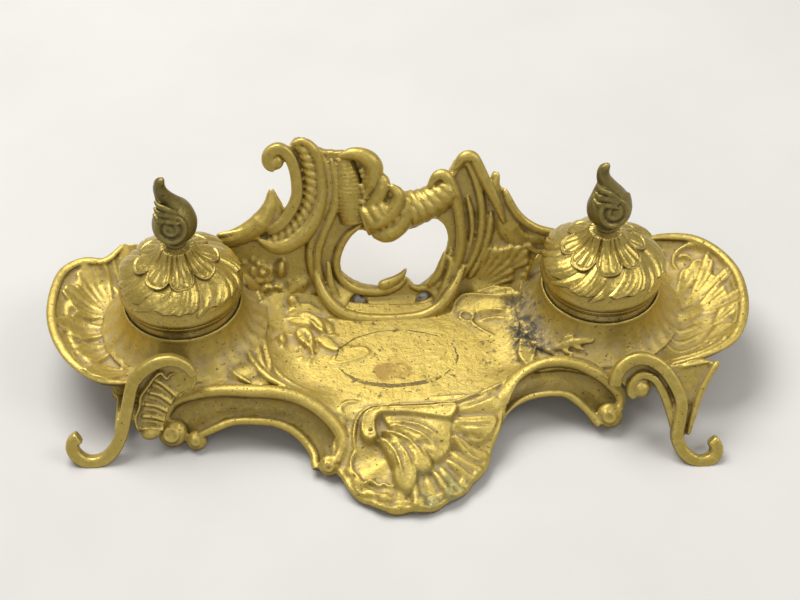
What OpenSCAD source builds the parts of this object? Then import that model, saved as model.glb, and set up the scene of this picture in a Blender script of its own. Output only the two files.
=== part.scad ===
// Desk inkstand in cast brass: an ornamental tray with a pen basin, two lidded inkwells,
// a pierced crest that holds pens, and four scroll legs.
// Frame: X to the right, Y to the back, Z up, with the table at Z = 0.

/* [Layout] */
// Distance between the two inkwell axes
well_pitch = 180; // [176:1:186]
// Sideways place of the middle between the wells
well_mid_x = -2.8; // [-5:0.2:-1]
// Place of both well axes from front to back
well_y = 22; // [20:0.5:24]
// Height of the tray's face at the foot of the wells
tray_z = 24; // [23:0.5:27]
// Thickness of the cast walls of the tray
cast_t = 3; // [2.5:0.1:3.5]

/* [Wells] */
// Height of the housing's mouth above the tray's face
housing_rise = 15; // [13:0.5:18]
// Wall of the housing outside the collar
housing_wall = 1.6; // [1.4:0.1:2.4]
// How far the housing flares outward at its foot
housing_flare = 8; // [6:0.5:9]
// Thickness of the housing's floor
well_floor_t = 3; // [2:0.5:4]
// Height of the housing's underside above the table
well_clear = 5; // [3:0.5:7]
// Outer radius of the plain collar that stands in the mouth
collar_r = 24.4; // [23.6:0.1:25]
// Wall of the collar
collar_wall = 2.6; // [2:0.1:3]
// How much of the collar shows above the mouth
collar_show = 3.7; // [3:0.1:5]
// How deep the collar sits in the housing
collar_depth = 10; // [8:0.5:12]
// Radial clearance of the pieces that drop into the well
drop_gap = 0.25; // [0.15:0.05:0.4]
// Wall of the glass liner
liner_wall = 2.4; // [2:0.1:3]
// Thickness of the glass liner's floor
liner_floor = 3; // [2:0.5:4]

/* [Lids] */
// Radius of the lid's lower edge
lid_r = 25; // [24.6:0.1:25.6]
// Greatest radius of the dome
dome_r = 26.8; // [26:0.1:27.4]
// Height of the lid from its edge to its crown
lid_h = 27; // [25:0.5:29]
// Wall of the lid
lid_wall = 2.2; // [1.8:0.1:2.6]
// Radius of the crown under the finial
crown_r = 6.2; // [5.8:0.1:7]
// Gap between the closed lid and the collar
lid_gap = 0.1; // [0.05:0.05:0.3]

/* [Hinges] */
// Distance from a well's axis back to its hinge pin
hinge_back = 29.6; // [29.4:0.1:30.4]
// Radius of the hinge pin
pin_r = 1; // [0.8:0.05:1.2]
// Running clearance of the pin in the lid's knuckle
pin_gap = 0.06; // [0.04:0.01:0.09]
// Radius of the knuckles
knuckle_r = 2.2; // [2:0.1:2.4]
// Width of the lid's knuckle
tab_w = 6; // [5:0.5:8]
// Width of each knuckle on the collar's leaf
leaf_knuckle_w = 4; // [3:0.5:5]
// Side gap between knuckles
knuckle_gap = 0.3; // [0.2:0.05:0.5]
// Thickness of the leaf and the tab
leaf_t = 1.6; // [1.2:0.1:1.8]

/* [Finials] */
// Radius of the finial's bulb
bulb_r = 9.2; // [8.5:0.1:10]
// Height of the finial above its washer
finial_h = 40; // [36:0.5:44]
// Sideways reach of the flame's tip
flame_reach = 5; // [3:0.5:7]
// Radius of the washer under the finial
washer_r = 4.6; // [4:0.1:5.2]
// Thickness of the washer
washer_t = 1.4; // [1:0.1:2]
// Radius of the threaded stud that holds the finial
stud_r = 1.5; // [1.2:0.1:1.8]
// How far the stud reaches up into the finial
stud_grip = 7; // [5:0.5:8]

/* [Basin and front] */
// Depth of the pen basin's floor below the tray's face
basin_drop = 6; // [4:0.5:7]
// Radius of the rolled rim round the side lobes
rim_r = 2.4; // [2:0.1:2.8]
// Width of the bead along the front arches
arch_bead = 2.6; // [2:0.1:3]
// Thickness of the front arches
arch_t = 4; // [3:0.5:5]
// Radius of the rolled lip of the front shell
volute_r = 2.6; // [2:0.1:3]

/* [Crest] */
// Backward lean of the crest from upright
crest_lean = 23; // [20:1:25]
// How much narrower the crest is than the pitch of the wells
crest_inset = 25; // [24:0.5:28]
// Thickness of the crest's plate
crest_t = 4; // [3:0.5:4.5]
// Place from front to back where the crest's face meets its seat
crest_y = 37.6; // [37:0.2:39]
// Radius of the crest's rope moulding
rope_r = 2.2; // [1.8:0.1:2.6]
// Radius of the shell horn across the crest's opening
horn_r = 8.6; // [7:0.2:9]
// Thickness of the tray's upstand behind the crest
upstand_t = 3.5; // [3:0.5:4]
// Radius of a rivet's shank
rivet_r = 1.6; // [1.3:0.1:1.9]

/* [Legs] */
// Width of a leg's scroll band
leg_band = 5; // [4:0.2:6]
// Thickness of a leg from its face to its back
leg_t = 6; // [5:0.5:7]
// Backward lean of the left front leg
left_leg_lean = 26.6; // [24:0.2:28]
// Backward lean of the right front leg
right_leg_lean = 35; // [33:0.5:36]
// Forward lean of both rear legs
rear_leg_lean = 20; // [16:1:24]
// Depth of the flat filed on the sole of each foot
sole_flat = 0.8; // [0.6:0.1:1.2]
// Radius of a leg's mounting pad
pad_r = 5; // [4.5:0.1:6]
// Thickness of a leg's mounting pad
pad_t = 4; // [3:0.5:5]
// Radius of a leg screw's shank
screw_r = 1.5; // [1.2:0.1:1.8]

/* [Hidden] */

brass = [0.72, 0.58, 0.24];
dark_brass = [0.45, 0.37, 0.17];
worn_brass = [0.80, 0.68, 0.36];
steel = [0.62, 0.62, 0.60];
ink_glass = [0.55, 0.68, 0.70, 0.5];

eps = 0.01;
left_x = well_mid_x - well_pitch / 2;
right_x = well_mid_x + well_pitch / 2;

mouth_z = tray_z + housing_rise;
collar_bottom = mouth_z - collar_depth;
collar_top = mouth_z + collar_show;
collar_bore = collar_r - collar_wall;
well_floor = well_clear + well_floor_t;
liner_r = collar_bore - drop_gap;
lid_z = collar_top + lid_gap;
crown_z = lid_z + lid_h;
crown_t = 3.5;
nut_t = 2.6;
stud_end = 1; // how far the stud stands out below its nut
pin_z = lid_z;
pin_y = well_y + hinge_back;
far = 300; // longer than the whole stand, for cuts that run right past it
past = 1; // how far a cut runs past a face
thread_gap = 0.05; // clearance of a screw or stud in its thread
free_gap = 0.3; // clearance of a screw in a plain hole
fit_gap = 0.1; // clearance of a washer or crown round the stud

// ---- curves and solids ----------------------------------------------------------------

function blend(a, b, c, d, t) =
    0.5 * (2 * b + (c - a) * t + (2 * a - 5 * b + 4 * c - d) * t * t
        + (3 * b - a - 3 * c + d) * t * t * t);

// Smooth open curve through the points p, with n steps between two of them.
function curve(p, n = 2) =
    let (last = len(p) - 1)
    concat([for (i = [0:last - 1], k = [0:n - 1])
        blend(p[max(i - 1, 0)], p[i], p[i + 1], p[min(i + 2, last)], k / n)], [p[last]]);

// Smooth closed curve through the points p.
function ring_curve(p, n = 2) =
    let (m = len(p))
    [for (i = [0:m - 1], k = [0:n - 1])
        blend(p[(i + m - 1) % m], p[i], p[(i + 1) % m], p[(i + 2) % m], k / n)];

function unit(v) = v / norm(v);
function flipped(p) = [for (i = [len(p) - 1:-1:0]) p[i]];
function heading(p, i) = unit(p[min(i + 1, len(p) - 1)] - p[max(i - 1, 0)]);
function sum(p, i = 0) = i == len(p) - 1 ? p[i] : p[i] + sum(p, i + 1);
function middle(p) = sum(p) / len(p);
function breadth(p) = max([for (q = p) q.x]) - min([for (q = p) q.x]);

// An outline drawn out to fit between the wells, with heights from the tray.
function fitted(p) = [for (q = p) [q.x * stretch, q.y, q.z + tray_z]];
// An outline drawn from a well's axis, with heights from the tray.
function by_well(p, x) = [for (q = p) [q.x + x, q.y + well_y, q.z + tray_z]];

// Closed solid through rings that all have the same number of points.
module skin(rings) {
    n = len(rings);
    m = len(rings[0]);
    points = concat([for (r = rings) each r], [middle(rings[0]), middle(rings[n - 1])]);
    sides = [for (i = [0:n - 2], k = [0:m - 1]) each [
        [i * m + k, (i + 1) * m + (k + 1) % m, i * m + (k + 1) % m],
        [i * m + k, (i + 1) * m + k, (i + 1) * m + (k + 1) % m]]];
    caps = [for (k = [0:m - 1]) each [
        [n * m, k, (k + 1) % m],
        [n * m + 1, (n - 1) * m + (k + 1) % m, (n - 1) * m + k]]];
    polyhedron(points, concat(sides, caps), convexity = 10);
}

// Round bar along a path, slimmer at its ends; the path never runs along ref.
module bar(path, r, ref = [0, 0, 1], slim = 0.5, n = 8) {
    last = len(path) - 1;
    skin([for (i = [0:last])
        let (t = heading(path, i), s = unit(cross(t, ref)), u = cross(t, s),
            here = r * (slim + (1 - slim) * sqrt(max(0, sin(180 * i / last)))))
        [for (k = [0:n - 1]) path[i] + here * (cos(360 * k / n) * s + sin(360 * k / n) * u)]]);
}

// Cast dish: the outline drawn in towards the centre in steps of [share, rise] over low_z.
module dish(outline, centre, low_z, steps) {
    function row(p, dz) = [for (q = outline) [
        centre.x + (q.x - centre.x) * p[0],
        centre.y + (q.y - centre.y) * p[0],
        low_z + (q.z - low_z) * p[1] + dz]];
    skin(concat([for (p = steps) row(p, -cast_t)], [for (p = flipped(steps)) row(p, 0)]));
}

// ---- tray -----------------------------------------------------------------------------

// Outlines of the side lobes, from their wells' axes, with heights from the tray's face.
left_lobe = [[34, 0, 0], [32, 17, 1], [22, 32, 4], [6, 38, 7], [-12, 41, 8], [-28, 43, 8],
    [-36, 35, 6], [-46, 35, 6], [-54, 29, 6], [-57, 15, 7], [-57, 0, 7], [-53, -15, 7],
    [-45, -28, 6], [-34, -35, 3], [-18, -35, 0], [0, -38, -2], [16, -40, -2],
    [30, -40, -2], [37, -28, -1], [35, -13, -1]];
right_lobe = [[63, -2, 7], [62, 13, 7], [56, 26, 7], [47, 34, 7], [35, 36, 7], [25, 34, 8],
    [12, 38, 8], [-6, 38, 7], [-22, 32, 4], [-32, 17, 1], [-34, 0, 0], [-35, -13, -1],
    [-37, -26, -1], [-31, -34, -1], [-20, -34, -1], [-7, -36, -2], [10, -38, -1],
    [26, -38, 2], [40, -36, 5], [53, -29, 6], [60, -17, 7]];
basin_edge = [[58, 20, 0], [54, 30, 1], [43, 37, 0], [28, 35, -3], [12, 34, -5], [-4, 34, -5],
    [-20, 35, -4], [-36, 37, -1], [-50, 38, 1], [-61, 31, 1], [-64, 18, 0], [-62, 2, 0],
    [-58, -11, -1], [-51, -18, -1], [-41, -22, -2], [-32, -27, -5], [-22, -31, -8],
    [-8, -33, -10], [8, -32, -10], [23, -29, -7], [36, -22, -4], [46, -15, -2],
    [55, -8, -1], [58, 6, 0]];
shell_edge = [[25, -22, -5], [8, -22, -6], [-8, -24, -6], [-23, -28, -7], [-29, -35, -11],
    [-31, -44, -15], [-28, -53, -18], [-22, -62, -19], [-12, -69, -20], [0, -71, -20],
    [12, -69, -20], [23, -62, -19], [31, -53, -18], [36, -43, -14], [40, -33, -9],
    [39, -25, -6]];
// Upper bead and lower ridge of each front arch, point by point.
left_arch_top = [[-103, -24, -15], [-102, -20, -12], [-97, -17, -8], [-88, -17, -4],
    [-77, -18, -1], [-65, -20, 0], [-52, -21, -1], [-42, -24, -3], [-34, -29, -6],
    [-28, -35, -11], [-27, -41, -15], [-30, -47, -18]];
left_arch_low = [[-91, -28, -18], [-89, -28, -17], [-84, -28, -15], [-79, -27, -14],
    [-72, -26, -12], [-63, -27, -11], [-54, -28, -12], [-47, -31, -14], [-42, -35, -17],
    [-39, -40, -18], [-39, -44, -19], [-39, -47, -19]];
right_arch_top = [[38, -33, -11], [41, -25, -6], [47, -17, -2], [56, -12, 0], [65, -11, 1],
    [74, -12, 0], [82, -15, -3], [88, -18, -7], [92, -21, -12], [91, -26, -16]];
right_arch_low = [[35, -38, -17], [38, -32, -15], [43, -26, -12], [50, -22, -10],
    [60, -20, -9], [69, -20, -10], [75, -23, -13], [79, -26, -16], [81, -28, -18],
    [83, -30, -19]];
volute_path = [[22, -28, -4], [6, -27, -4], [-9, -27, -5], [-18, -29, -6], [-22, -34, -8],
    [-22, -40, -10], [-17, -44, -11], [-12, -42, -10], [-12, -37, -9]];

lobe_steps = [[0.55, 0.2], [0.72, 0], [0.88, 0.45], [1, 1]];
basin_steps = [[0.55, 0], [0.75, 0.05], [0.89, 0.45], [1, 1]];
shell_steps = [[0.35, 0.3], [0.7, 0.7], [1, 1]];
lobe_dip = 2; // depth of a lobe's hollow below the tray's face
shell_crown = 11; // depth of the shell's middle below the tray's face
basin_middle = [-3, 3];
shell_middle = [3, -44];

// Moulded apron between an upper bead and a lower ridge.
module arch(top, low) {
    last = len(top) - 1;
    skin([for (i = [0:last])
        let (a = top[i], b = low[i], up = unit(a - b), out = unit(cross(heading(top, i), up)))
        [a + arch_bead * up, a + arch_bead * (up + out) * 0.7, a + arch_bead * out,
            a - arch_bead * up, b + arch_bead * up, b + arch_bead * 0.8 * out,
            b - arch_bead * 0.8 * up, b - arch_t * out, a - arch_t * out]]);
}

module housing(x) translate([x, well_y, 0]) rotate_extrude($fn = 96) {
    r = collar_r + drop_gap + housing_wall;
    polygon([[0, well_clear], [r - 1.5, well_clear], [r, well_clear + 1.5],
        [r, tray_z - cast_t - lobe_dip], [r + housing_flare, tray_z - cast_t],
        [r + housing_flare, tray_z - 1], [r + housing_flare * 0.6, tray_z + housing_rise * 0.2],
        [r + housing_flare * 0.25, tray_z + housing_rise * 0.5],
        [r + housing_flare * 0.05, tray_z + housing_rise * 0.85], [r, mouth_z], [0, mouth_z]]);
}

module well_bores(x) translate([x, well_y, 0]) {
    translate([0, 0, collar_bottom])
        cylinder(r = collar_r + drop_gap, h = collar_depth + past, $fn = 96);
    translate([0, 0, well_floor]) cylinder(r = collar_bore, h = mouth_z, $fn = 96);
}

module lobe(outline, x) {
    edge = ring_curve(by_well(outline, x));
    dish(edge, [x, well_y], tray_z - lobe_dip, lobe_steps);
}

// Half-round roll along the outer stretch of a lobe's edge.
module lobe_rim(outline, x, from, to) {
    edge = by_well(outline, x);
    m = len(edge);
    bar(curve([for (i = [from:to]) edge[i % m]]), rim_r, slim = 0.35, n = 6);
}

module on_crest() translate([0, crest_y, crest_foot_z]) rotate([90 - crest_lean, 0, 0]) children();

// Ledge and upstand that carry the crest's foot.
module crest_seat() on_crest() {
    translate([seat_left * stretch, seat_s - seat_h, -crest_t - upstand_t])
        cube([seat_w * stretch, seat_h, crest_t + upstand_t + seat_reach]);
    translate([seat_left * stretch, seat_s - seat_h, -crest_t - upstand_t])
        cube([seat_w * stretch, seat_h + upstand_h, upstand_t]);
}

module boss(p) translate([p.x, p.y, boss_z]) cylinder(r = pad_r, h = boss_h, $fn = 48);

module tray() color(brass) difference() {
    union() {
        dish(ring_curve(fitted(basin_edge)), basin_middle, tray_z - basin_drop, basin_steps);
        dish(ring_curve(fitted(shell_edge)), shell_middle, tray_z - shell_crown, shell_steps);
        lobe(left_lobe, left_x);
        lobe(right_lobe, right_x);
        lobe_rim(left_lobe, left_x, 5, 14);
        lobe_rim(right_lobe, right_x, 17, 26);
        arch(curve(fitted(left_arch_top)), curve(fitted(left_arch_low)));
        arch(curve(fitted(right_arch_top)), curve(fitted(right_arch_low)));
        bar(curve(fitted(volute_path)), volute_r, n = 6);
        housing(left_x);
        housing(right_x);
        crest_seat();
        for (p = pads) boss(p);
    }
    well_bores(left_x);
    well_bores(right_x);
    rivet_holes();
    for (p = pads) translate([p.x, p.y, boss_z - eps])
        cylinder(r = screw_r + thread_gap, h = thread_h, $fn = 32);
}

// ---- crest ----------------------------------------------------------------------------

// Outlines in the crest's own plane: x across, y up the slope from its foot.
crest_edge = [[-20, -7], [22, -7], [30, -3], [38, 0], [46, 2], [51, 6], [55, 13], [61, 19], [69, 20],
    [74, 24], [70, 28], [63, 30], [57, 35], [51, 42], [47, 49], [44, 57], [41, 53], [38, 60],
    [33, 65], [27, 63], [23, 57], [18, 57], [14, 51], [8, 48], [2, 49], [-3, 54], [-8, 57],
    [-10, 64], [-16, 68], [-24, 69], [-31, 70], [-36, 74], [-42, 76], [-48, 73], [-54, 70],
    [-53, 63], [-48, 60], [-48, 52], [-51, 47], [-54, 53], [-57, 46], [-61, 38], [-68, 34],
    [-78, 32], [-81, 28], [-74, 26], [-66, 22], [-60, 14], [-56, 6], [-48, 2], [-38, 0],
    [-30, -3]];
// Share by which the outlines are drawn out so that the crest fits between the wells.
stretch = (well_pitch - crest_inset) / breadth(crest_edge);
crest_opening = [[-17, 33], [-23, 27], [-26, 19], [-23, 12], [-15, 7], [-6, 6], [1, 9],
    [5, 9], [9, 5], [15, 9], [20, 16], [23, 25], [22, 33], [17, 37], [8, 33], [-5, 31]];
// Raised mouldings: [path, radius].
mouldings = [
    [[[-52, 66], [-48, 69], [-44, 66], [-43, 58], [-43, 50], [-47, 42], [-54, 36]], 3],
    [[[-41, 73], [-38, 69], [-36, 60], [-36, 51], [-40, 41], [-46, 34], [-56, 29]], rope_r],
    [[[-31, 68], [-29, 60], [-29, 50], [-32, 40], [-38, 31], [-48, 26], [-60, 28]], 2.4],
    [[[-27, 66], [-25, 53], [-28, 39], [-33, 27], [-34, 14], [-29, 4], [-19, 0]], 2.4],
    [[[-19, 0], [-8, -1], [4, -1], [14, 1], [22, 8], [24, 17]], 2],
    [[[-20, 38], [-20, 54], [-21, 66]], 6],
    [[[-17, 41], [-6, 42], [5, 40], [14, 42], [20, 46]], horn_r],
    [[[18, 54], [23, 54], [26, 45], [28, 33], [27, 20], [23, 10]], 2.6],
    [[[28, 61], [33, 62], [37, 56], [42, 46], [47, 34]], 2.6],
    [[[30, 52], [33, 41], [34, 29], [32, 18], [26, 8]], 2.6],
    [[[45, 52], [48, 43], [54, 35], [62, 29], [72, 25]], 2.2],
    [[[-54, 50], [-57, 42], [-64, 35], [-79, 29]], 2.2]];
crest_foot_z = tray_z - basin_drop;
seat_left = -30;
seat_w = 54;
seat_s = -4; // height up the slope at which the crest's foot rests
seat_h = 6;
seat_reach = 8; // how far the seat runs forward under the basin's rear edge
upstand_h = 8;
rivet_spots = [[-17, 0], [12, 0]];
rivet_head_r = rivet_r * 1.9;
rivet_head_h = 1.2;

module rivet_holes() on_crest() for (p = rivet_spots)
    translate([p.x * stretch, p.y, -crest_t - upstand_t - past])
        cylinder(r = rivet_r + thread_gap, h = far, $fn = 32);

module crest() color(brass) difference() {
    on_crest() {
        translate([0, 0, -crest_t]) linear_extrude(crest_t) difference() {
            intersection() {
                polygon([for (q = ring_curve(crest_edge)) [q.x * stretch, q.y]]);
                translate([-far, seat_s]) square(2 * far);
            }
            polygon([for (q = ring_curve(crest_opening)) [q.x * stretch, q.y]]);
        }
        for (m = mouldings)
            bar(curve([for (q = m[0]) [q.x * stretch, q.y, 0.5]]), m[1], slim = 0.6, n = 6);
    }
    rivet_holes();
    on_crest() for (p = rivet_spots) translate([p.x * stretch, p.y, 0])
        cylinder(r = rivet_head_r + free_gap, h = far, $fn = 32);
}

module crest_rivets() color(dark_brass) on_crest() for (p = rivet_spots)
    translate([p.x * stretch, p.y, 0]) {
        translate([0, 0, -crest_t - upstand_t])
            cylinder(r = rivet_r, h = crest_t + upstand_t, $fn = 32);
        cylinder(r1 = rivet_head_r, r2 = rivet_head_r * 0.6, h = rivet_head_h, $fn = 32);
        translate([0, 0, -crest_t - upstand_t - rivet_head_h])
            cylinder(r1 = rivet_head_r * 0.6, r2 = rivet_head_r, h = rivet_head_h, $fn = 32);
    }

// ---- legs -----------------------------------------------------------------------------

// Middle lines of the scroll bands: x from the well's axis, y up the leaning face.
left_scroll = [[-43, 12], [-47, 9], [-46, 4], [-41, 0], [-34, 1], [-29, 6], [-26, 12],
    [-24, 19], [-22, 27], [-20, 34], [-16, 39], [-10, 43], [-3, 44], [3, 41], [6, 36]];
right_scroll = [[0, 33], [1, 39], [6, 44], [13, 45], [20, 41], [25, 34], [28, 26],
    [27, 18], [26, 11], [29, 4], [35, 0], [41, 1], [43, 6], [40, 10]];
rear_scroll = [[23, 14], [25.5, 11.5], [27.5, 8], [30.5, 3.5], [35, 0], [41, 1], [43, 6],
    [40, 10]];
left_infill = [[-19, 33], [-12, 37], [-4, 39], [-4, 31], [-9, 23], [-12, 13], [-16, 8],
    [-20, 12], [-21, 22]];
arm_x = 26.4; // distance of each leg's arm and pad from the well's axis
front_pad_y = -28;
rear_pad_y = 24;
left_foot_y = -60;
right_foot_y = -73;
rear_foot_y = 40;
boss_h = 7;
thread_h = 5.5;
thread_spare = 0.5; // depth left in a threaded hole beyond its screw
screw_head_h = 2;
boss_root = 2; // how far a boss reaches up into the tray's wall
boss_z = tray_z - lobe_dip - cast_t - boss_h + boss_root;
pad_z = boss_z - pad_t;
pads = [[left_x - arm_x, well_y + front_pad_y], [right_x + arm_x, well_y + front_pad_y],
    [left_x - arm_x, well_y + rear_pad_y], [right_x + arm_x, well_y + rear_pad_y]];

module band(path) {
    last = len(path) - 1;
    side = [for (i = [0:last]) let (t = heading(path, i)) [-t.y, t.x] * leg_band / 2];
    polygon(concat([for (i = [0:last]) path[i] + side[i]],
        [for (i = [last:-1:0]) path[i] - side[i]]));
    for (p = [path[0], path[last]]) translate(p) circle(r = leg_band * 0.66, $fn = 32);
}

// One leg: a leaning scroll band, an arm back from it and the pad that the screw goes through.
module leg(x, side, foot_y, lean, pad, infill = []) {
    mid_z = pad_z + pad_t / 2;
    band_y = foot_y + (mid_z * tan(lean) + leg_t / 2) * (foot_y < well_y ? 1 : -1);
    color(brass) difference() {
        union() {
            translate([x, foot_y, 0]) mirror([0, foot_y < well_y ? 0 : 1, 0])
                rotate([90 - lean, 0, 0]) translate([0, leg_band / 2 - sole_flat, -leg_t])
                    linear_extrude(leg_t) {
                        band(curve(side, 3));
                        if (len(infill) > 0) polygon(ring_curve(infill));
                    }
            translate([pad.x - leg_band / 2, min(band_y, pad.y), pad_z])
                cube([leg_band, abs(pad.y - band_y), pad_t]);
            translate([pad.x, pad.y, pad_z]) cylinder(r = pad_r, h = pad_t, $fn = 48);
        }
        translate([-far, -far, -far]) cube([2 * far, 2 * far, far]);
        translate([pad.x, pad.y, 0]) cylinder(r = screw_r + free_gap, h = far, $fn = 32);
    }
}

function mirrored(p) = [for (q = p) [-q.x, q.y]];

module front_left_leg()
    leg(left_x, left_scroll, well_y + left_foot_y, left_leg_lean, pads[0], left_infill);
module front_right_leg()
    leg(right_x, right_scroll, well_y + right_foot_y, right_leg_lean, pads[1]);
module rear_left_leg()
    leg(left_x, mirrored(rear_scroll), well_y + rear_foot_y, rear_leg_lean, pads[2]);
module rear_right_leg()
    leg(right_x, rear_scroll, well_y + rear_foot_y, rear_leg_lean, pads[3]);

module leg_screws() color(steel) for (p = pads) translate([p.x, p.y, 0]) {
    translate([0, 0, pad_z])
        cylinder(r = screw_r, h = pad_t + thread_h - thread_spare, $fn = 32);
    translate([0, 0, pad_z - screw_head_h])
        cylinder(r1 = screw_r * 1.6, r2 = screw_r * 2, h = screw_head_h, $fn = 32);
}

// ---- wells ----------------------------------------------------------------------------

leaf_w = tab_w + 2 * (knuckle_gap + leaf_knuckle_w);
pin_end = 0.5; // how far the pin stands out of the outer knuckles
grip_gap = 0.02; // the outer knuckles hold the pin tightly
liner_low = 1; // how far the liner's lip lies below the collar's

// Solid of the collar's leaf without its knuckles' bores; also cuts its notch in the collar.
module leaf_plate() {
    pocket = knuckle_r + 1.3 * knuckle_gap;
    difference() {
        translate([-leaf_w / 2, collar_r - collar_wall / 2, collar_top - leaf_t])
            cube([leaf_w, hinge_back - collar_r + collar_wall / 2, leaf_t]);
        translate([-tab_w / 2 - knuckle_gap, hinge_back - pocket, 0])
            cube([tab_w + 2 * knuckle_gap, far, far]);
    }
}

// Solid of the lid's tab without its knuckle's bore; also cuts its notch in the lid.
module tab_plate() translate([-tab_w / 2, lid_r - lid_wall / 2, lid_z])
    cube([tab_w, hinge_back - lid_r + lid_wall / 2, leaf_t]);

module across(x, r, w) translate([x, hinge_back, pin_z]) rotate([0, 90, 0])
    cylinder(r = r, h = w, $fn = 48);

module collar() color(worn_brass) difference() {
    translate([0, 0, collar_bottom])
        cylinder(r = collar_r, h = collar_top - collar_bottom, $fn = 96);
    cylinder(r = collar_bore, h = far, $fn = 96);
    leaf_plate();
}

module liner() color(ink_glass) difference() {
    translate([0, 0, well_floor])
        cylinder(r = liner_r, h = collar_top - liner_low - well_floor, $fn = 96);
    translate([0, 0, well_floor + liner_floor])
        cylinder(r = liner_r - liner_wall, h = far, $fn = 96);
}

module hinge_leaf() color(dark_brass) difference() {
    union() {
        leaf_plate();
        for (x = [-leaf_w / 2, tab_w / 2 + knuckle_gap]) across(x, knuckle_r, leaf_knuckle_w);
    }
    across(-far, pin_r + grip_gap, 2 * far);
}

module pin() color(steel) across(-leaf_w / 2 - pin_end, pin_r, leaf_w + 2 * pin_end);

module hinge_tab() color(dark_brass) difference() {
    union() {
        tab_plate();
        across(-tab_w / 2, knuckle_r, tab_w);
    }
    across(-far, pin_r + pin_gap, 2 * far);
}

// The dome's outer face from its edge to its crown, as [radius, height].
module lid() {
    k = lid_h / 27;
    outer = curve([[lid_r, 0], [dome_r - 0.6, 3 * k], [dome_r, 6.3 * k], [dome_r - 1, 10.5 * k],
        [dome_r - 4.6, 14.3 * k], [dome_r - 10.2, 17.8 * k], [crown_r + 4.6, 21 * k],
        [crown_r + 1.6, 24 * k], [crown_r, lid_h]], 3);
    inner = [for (q = outer) if (q.y < lid_h - crown_t) [q.x - lid_wall, q.y]];
    top_r = inner[len(inner) - 1].x;
    color(brass) difference() {
        translate([0, 0, lid_z]) rotate_extrude($fn = 96) polygon(concat(
            outer, [[stud_r + fit_gap, lid_h], [stud_r + fit_gap, lid_h - crown_t],
                [top_r, lid_h - crown_t]], flipped(inner)));
        tab_plate();
    }
}

module washer() color(worn_brass) translate([0, 0, crown_z]) difference() {
    cylinder(r = washer_r, h = washer_t, $fn = 64);
    translate([0, 0, -past]) cylinder(r = stud_r + fit_gap, h = washer_t + 2 * past, $fn = 32);
}

// Flame finial: a bulb that draws out into a leaning, curled tongue.
module finial() {
    base = crown_z + washer_t;
    h = finial_h;
    rings = [[0.45, 0, 0, 0], [0.38, 0, 0, 0.04], [0.6, 0, 0, 0.1], [0.95, 0, 0, 0.2],
        [1, 0, 0, 0.3], [0.85, -0.1, 0, 0.42], [0.62, -0.3, 0.1, 0.53], [0.48, -0.5, 0.1, 0.63],
        [0.42, -0.75, 0, 0.74], [0.34, -0.9, -0.1, 0.84], [0.22, -0.95, -0.1, 0.93],
        [0.08, -1, -0.1, 1]];
    color(dark_brass) difference() {
        translate([0, 0, base]) skin([for (q = rings)
            [for (a = [0:30:330]) [bulb_r * q[0] * cos(a) + flame_reach * q[1],
                bulb_r * q[0] * sin(a) + flame_reach * q[2], h * q[3]]]]);
        translate([0, 0, base - past])
            cylinder(r = stud_r + thread_gap, h = stud_grip + past, $fn = 32);
    }
}

module stud() color(steel) translate([0, 0, crown_z - crown_t - nut_t - stud_end])
    cylinder(r = stud_r, h = stud_end + nut_t + crown_t + washer_t + stud_grip - thread_spare,
        $fn = 32);

module nut() color(steel) translate([0, 0, crown_z - crown_t - nut_t]) difference() {
    cylinder(r = stud_r * 2.1, h = nut_t, $fn = 6);
    translate([0, 0, -past]) cylinder(r = stud_r + thread_gap, h = nut_t + 2 * past, $fn = 32);
}

module at_left() translate([left_x, well_y, 0]) children();
module at_right() translate([right_x, well_y, 0]) children();

module left_well_collar() at_left() collar();
module right_well_collar() at_right() collar();
module left_ink_liner() at_left() liner();
module right_ink_liner() at_right() liner();
module left_lid_hinge_leaf() at_left() hinge_leaf();
module right_lid_hinge_leaf() at_right() hinge_leaf();
module left_hinge_pin() at_left() pin();
module right_hinge_pin() at_right() pin();
module left_lid() at_left() lid();
module right_lid() at_right() lid();
module left_lid_hinge_tab() at_left() hinge_tab();
module right_lid_hinge_tab() at_right() hinge_tab();
module left_finial_washer() at_left() washer();
module right_finial_washer() at_right() washer();
module left_finial() at_left() finial();
module right_finial() at_right() finial();
module left_finial_stud() at_left() stud();
module right_finial_stud() at_right() stud();
module left_finial_nut() at_left() nut();
module right_finial_nut() at_right() nut();

tray();
crest();
crest_rivets();
front_left_leg();
front_right_leg();
rear_left_leg();
rear_right_leg();
leg_screws();
left_well_collar();
right_well_collar();
left_ink_liner();
right_ink_liner();
left_lid_hinge_leaf();
right_lid_hinge_leaf();
left_hinge_pin();
right_hinge_pin();
left_lid();
right_lid();
left_lid_hinge_tab();
right_lid_hinge_tab();
left_finial_washer();
right_finial_washer();
left_finial();
right_finial();
left_finial_stud();
right_finial_stud();
left_finial_nut();
right_finial_nut();
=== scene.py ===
# Desk inkstand: the looks of every visible piece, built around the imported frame.
import math

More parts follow.
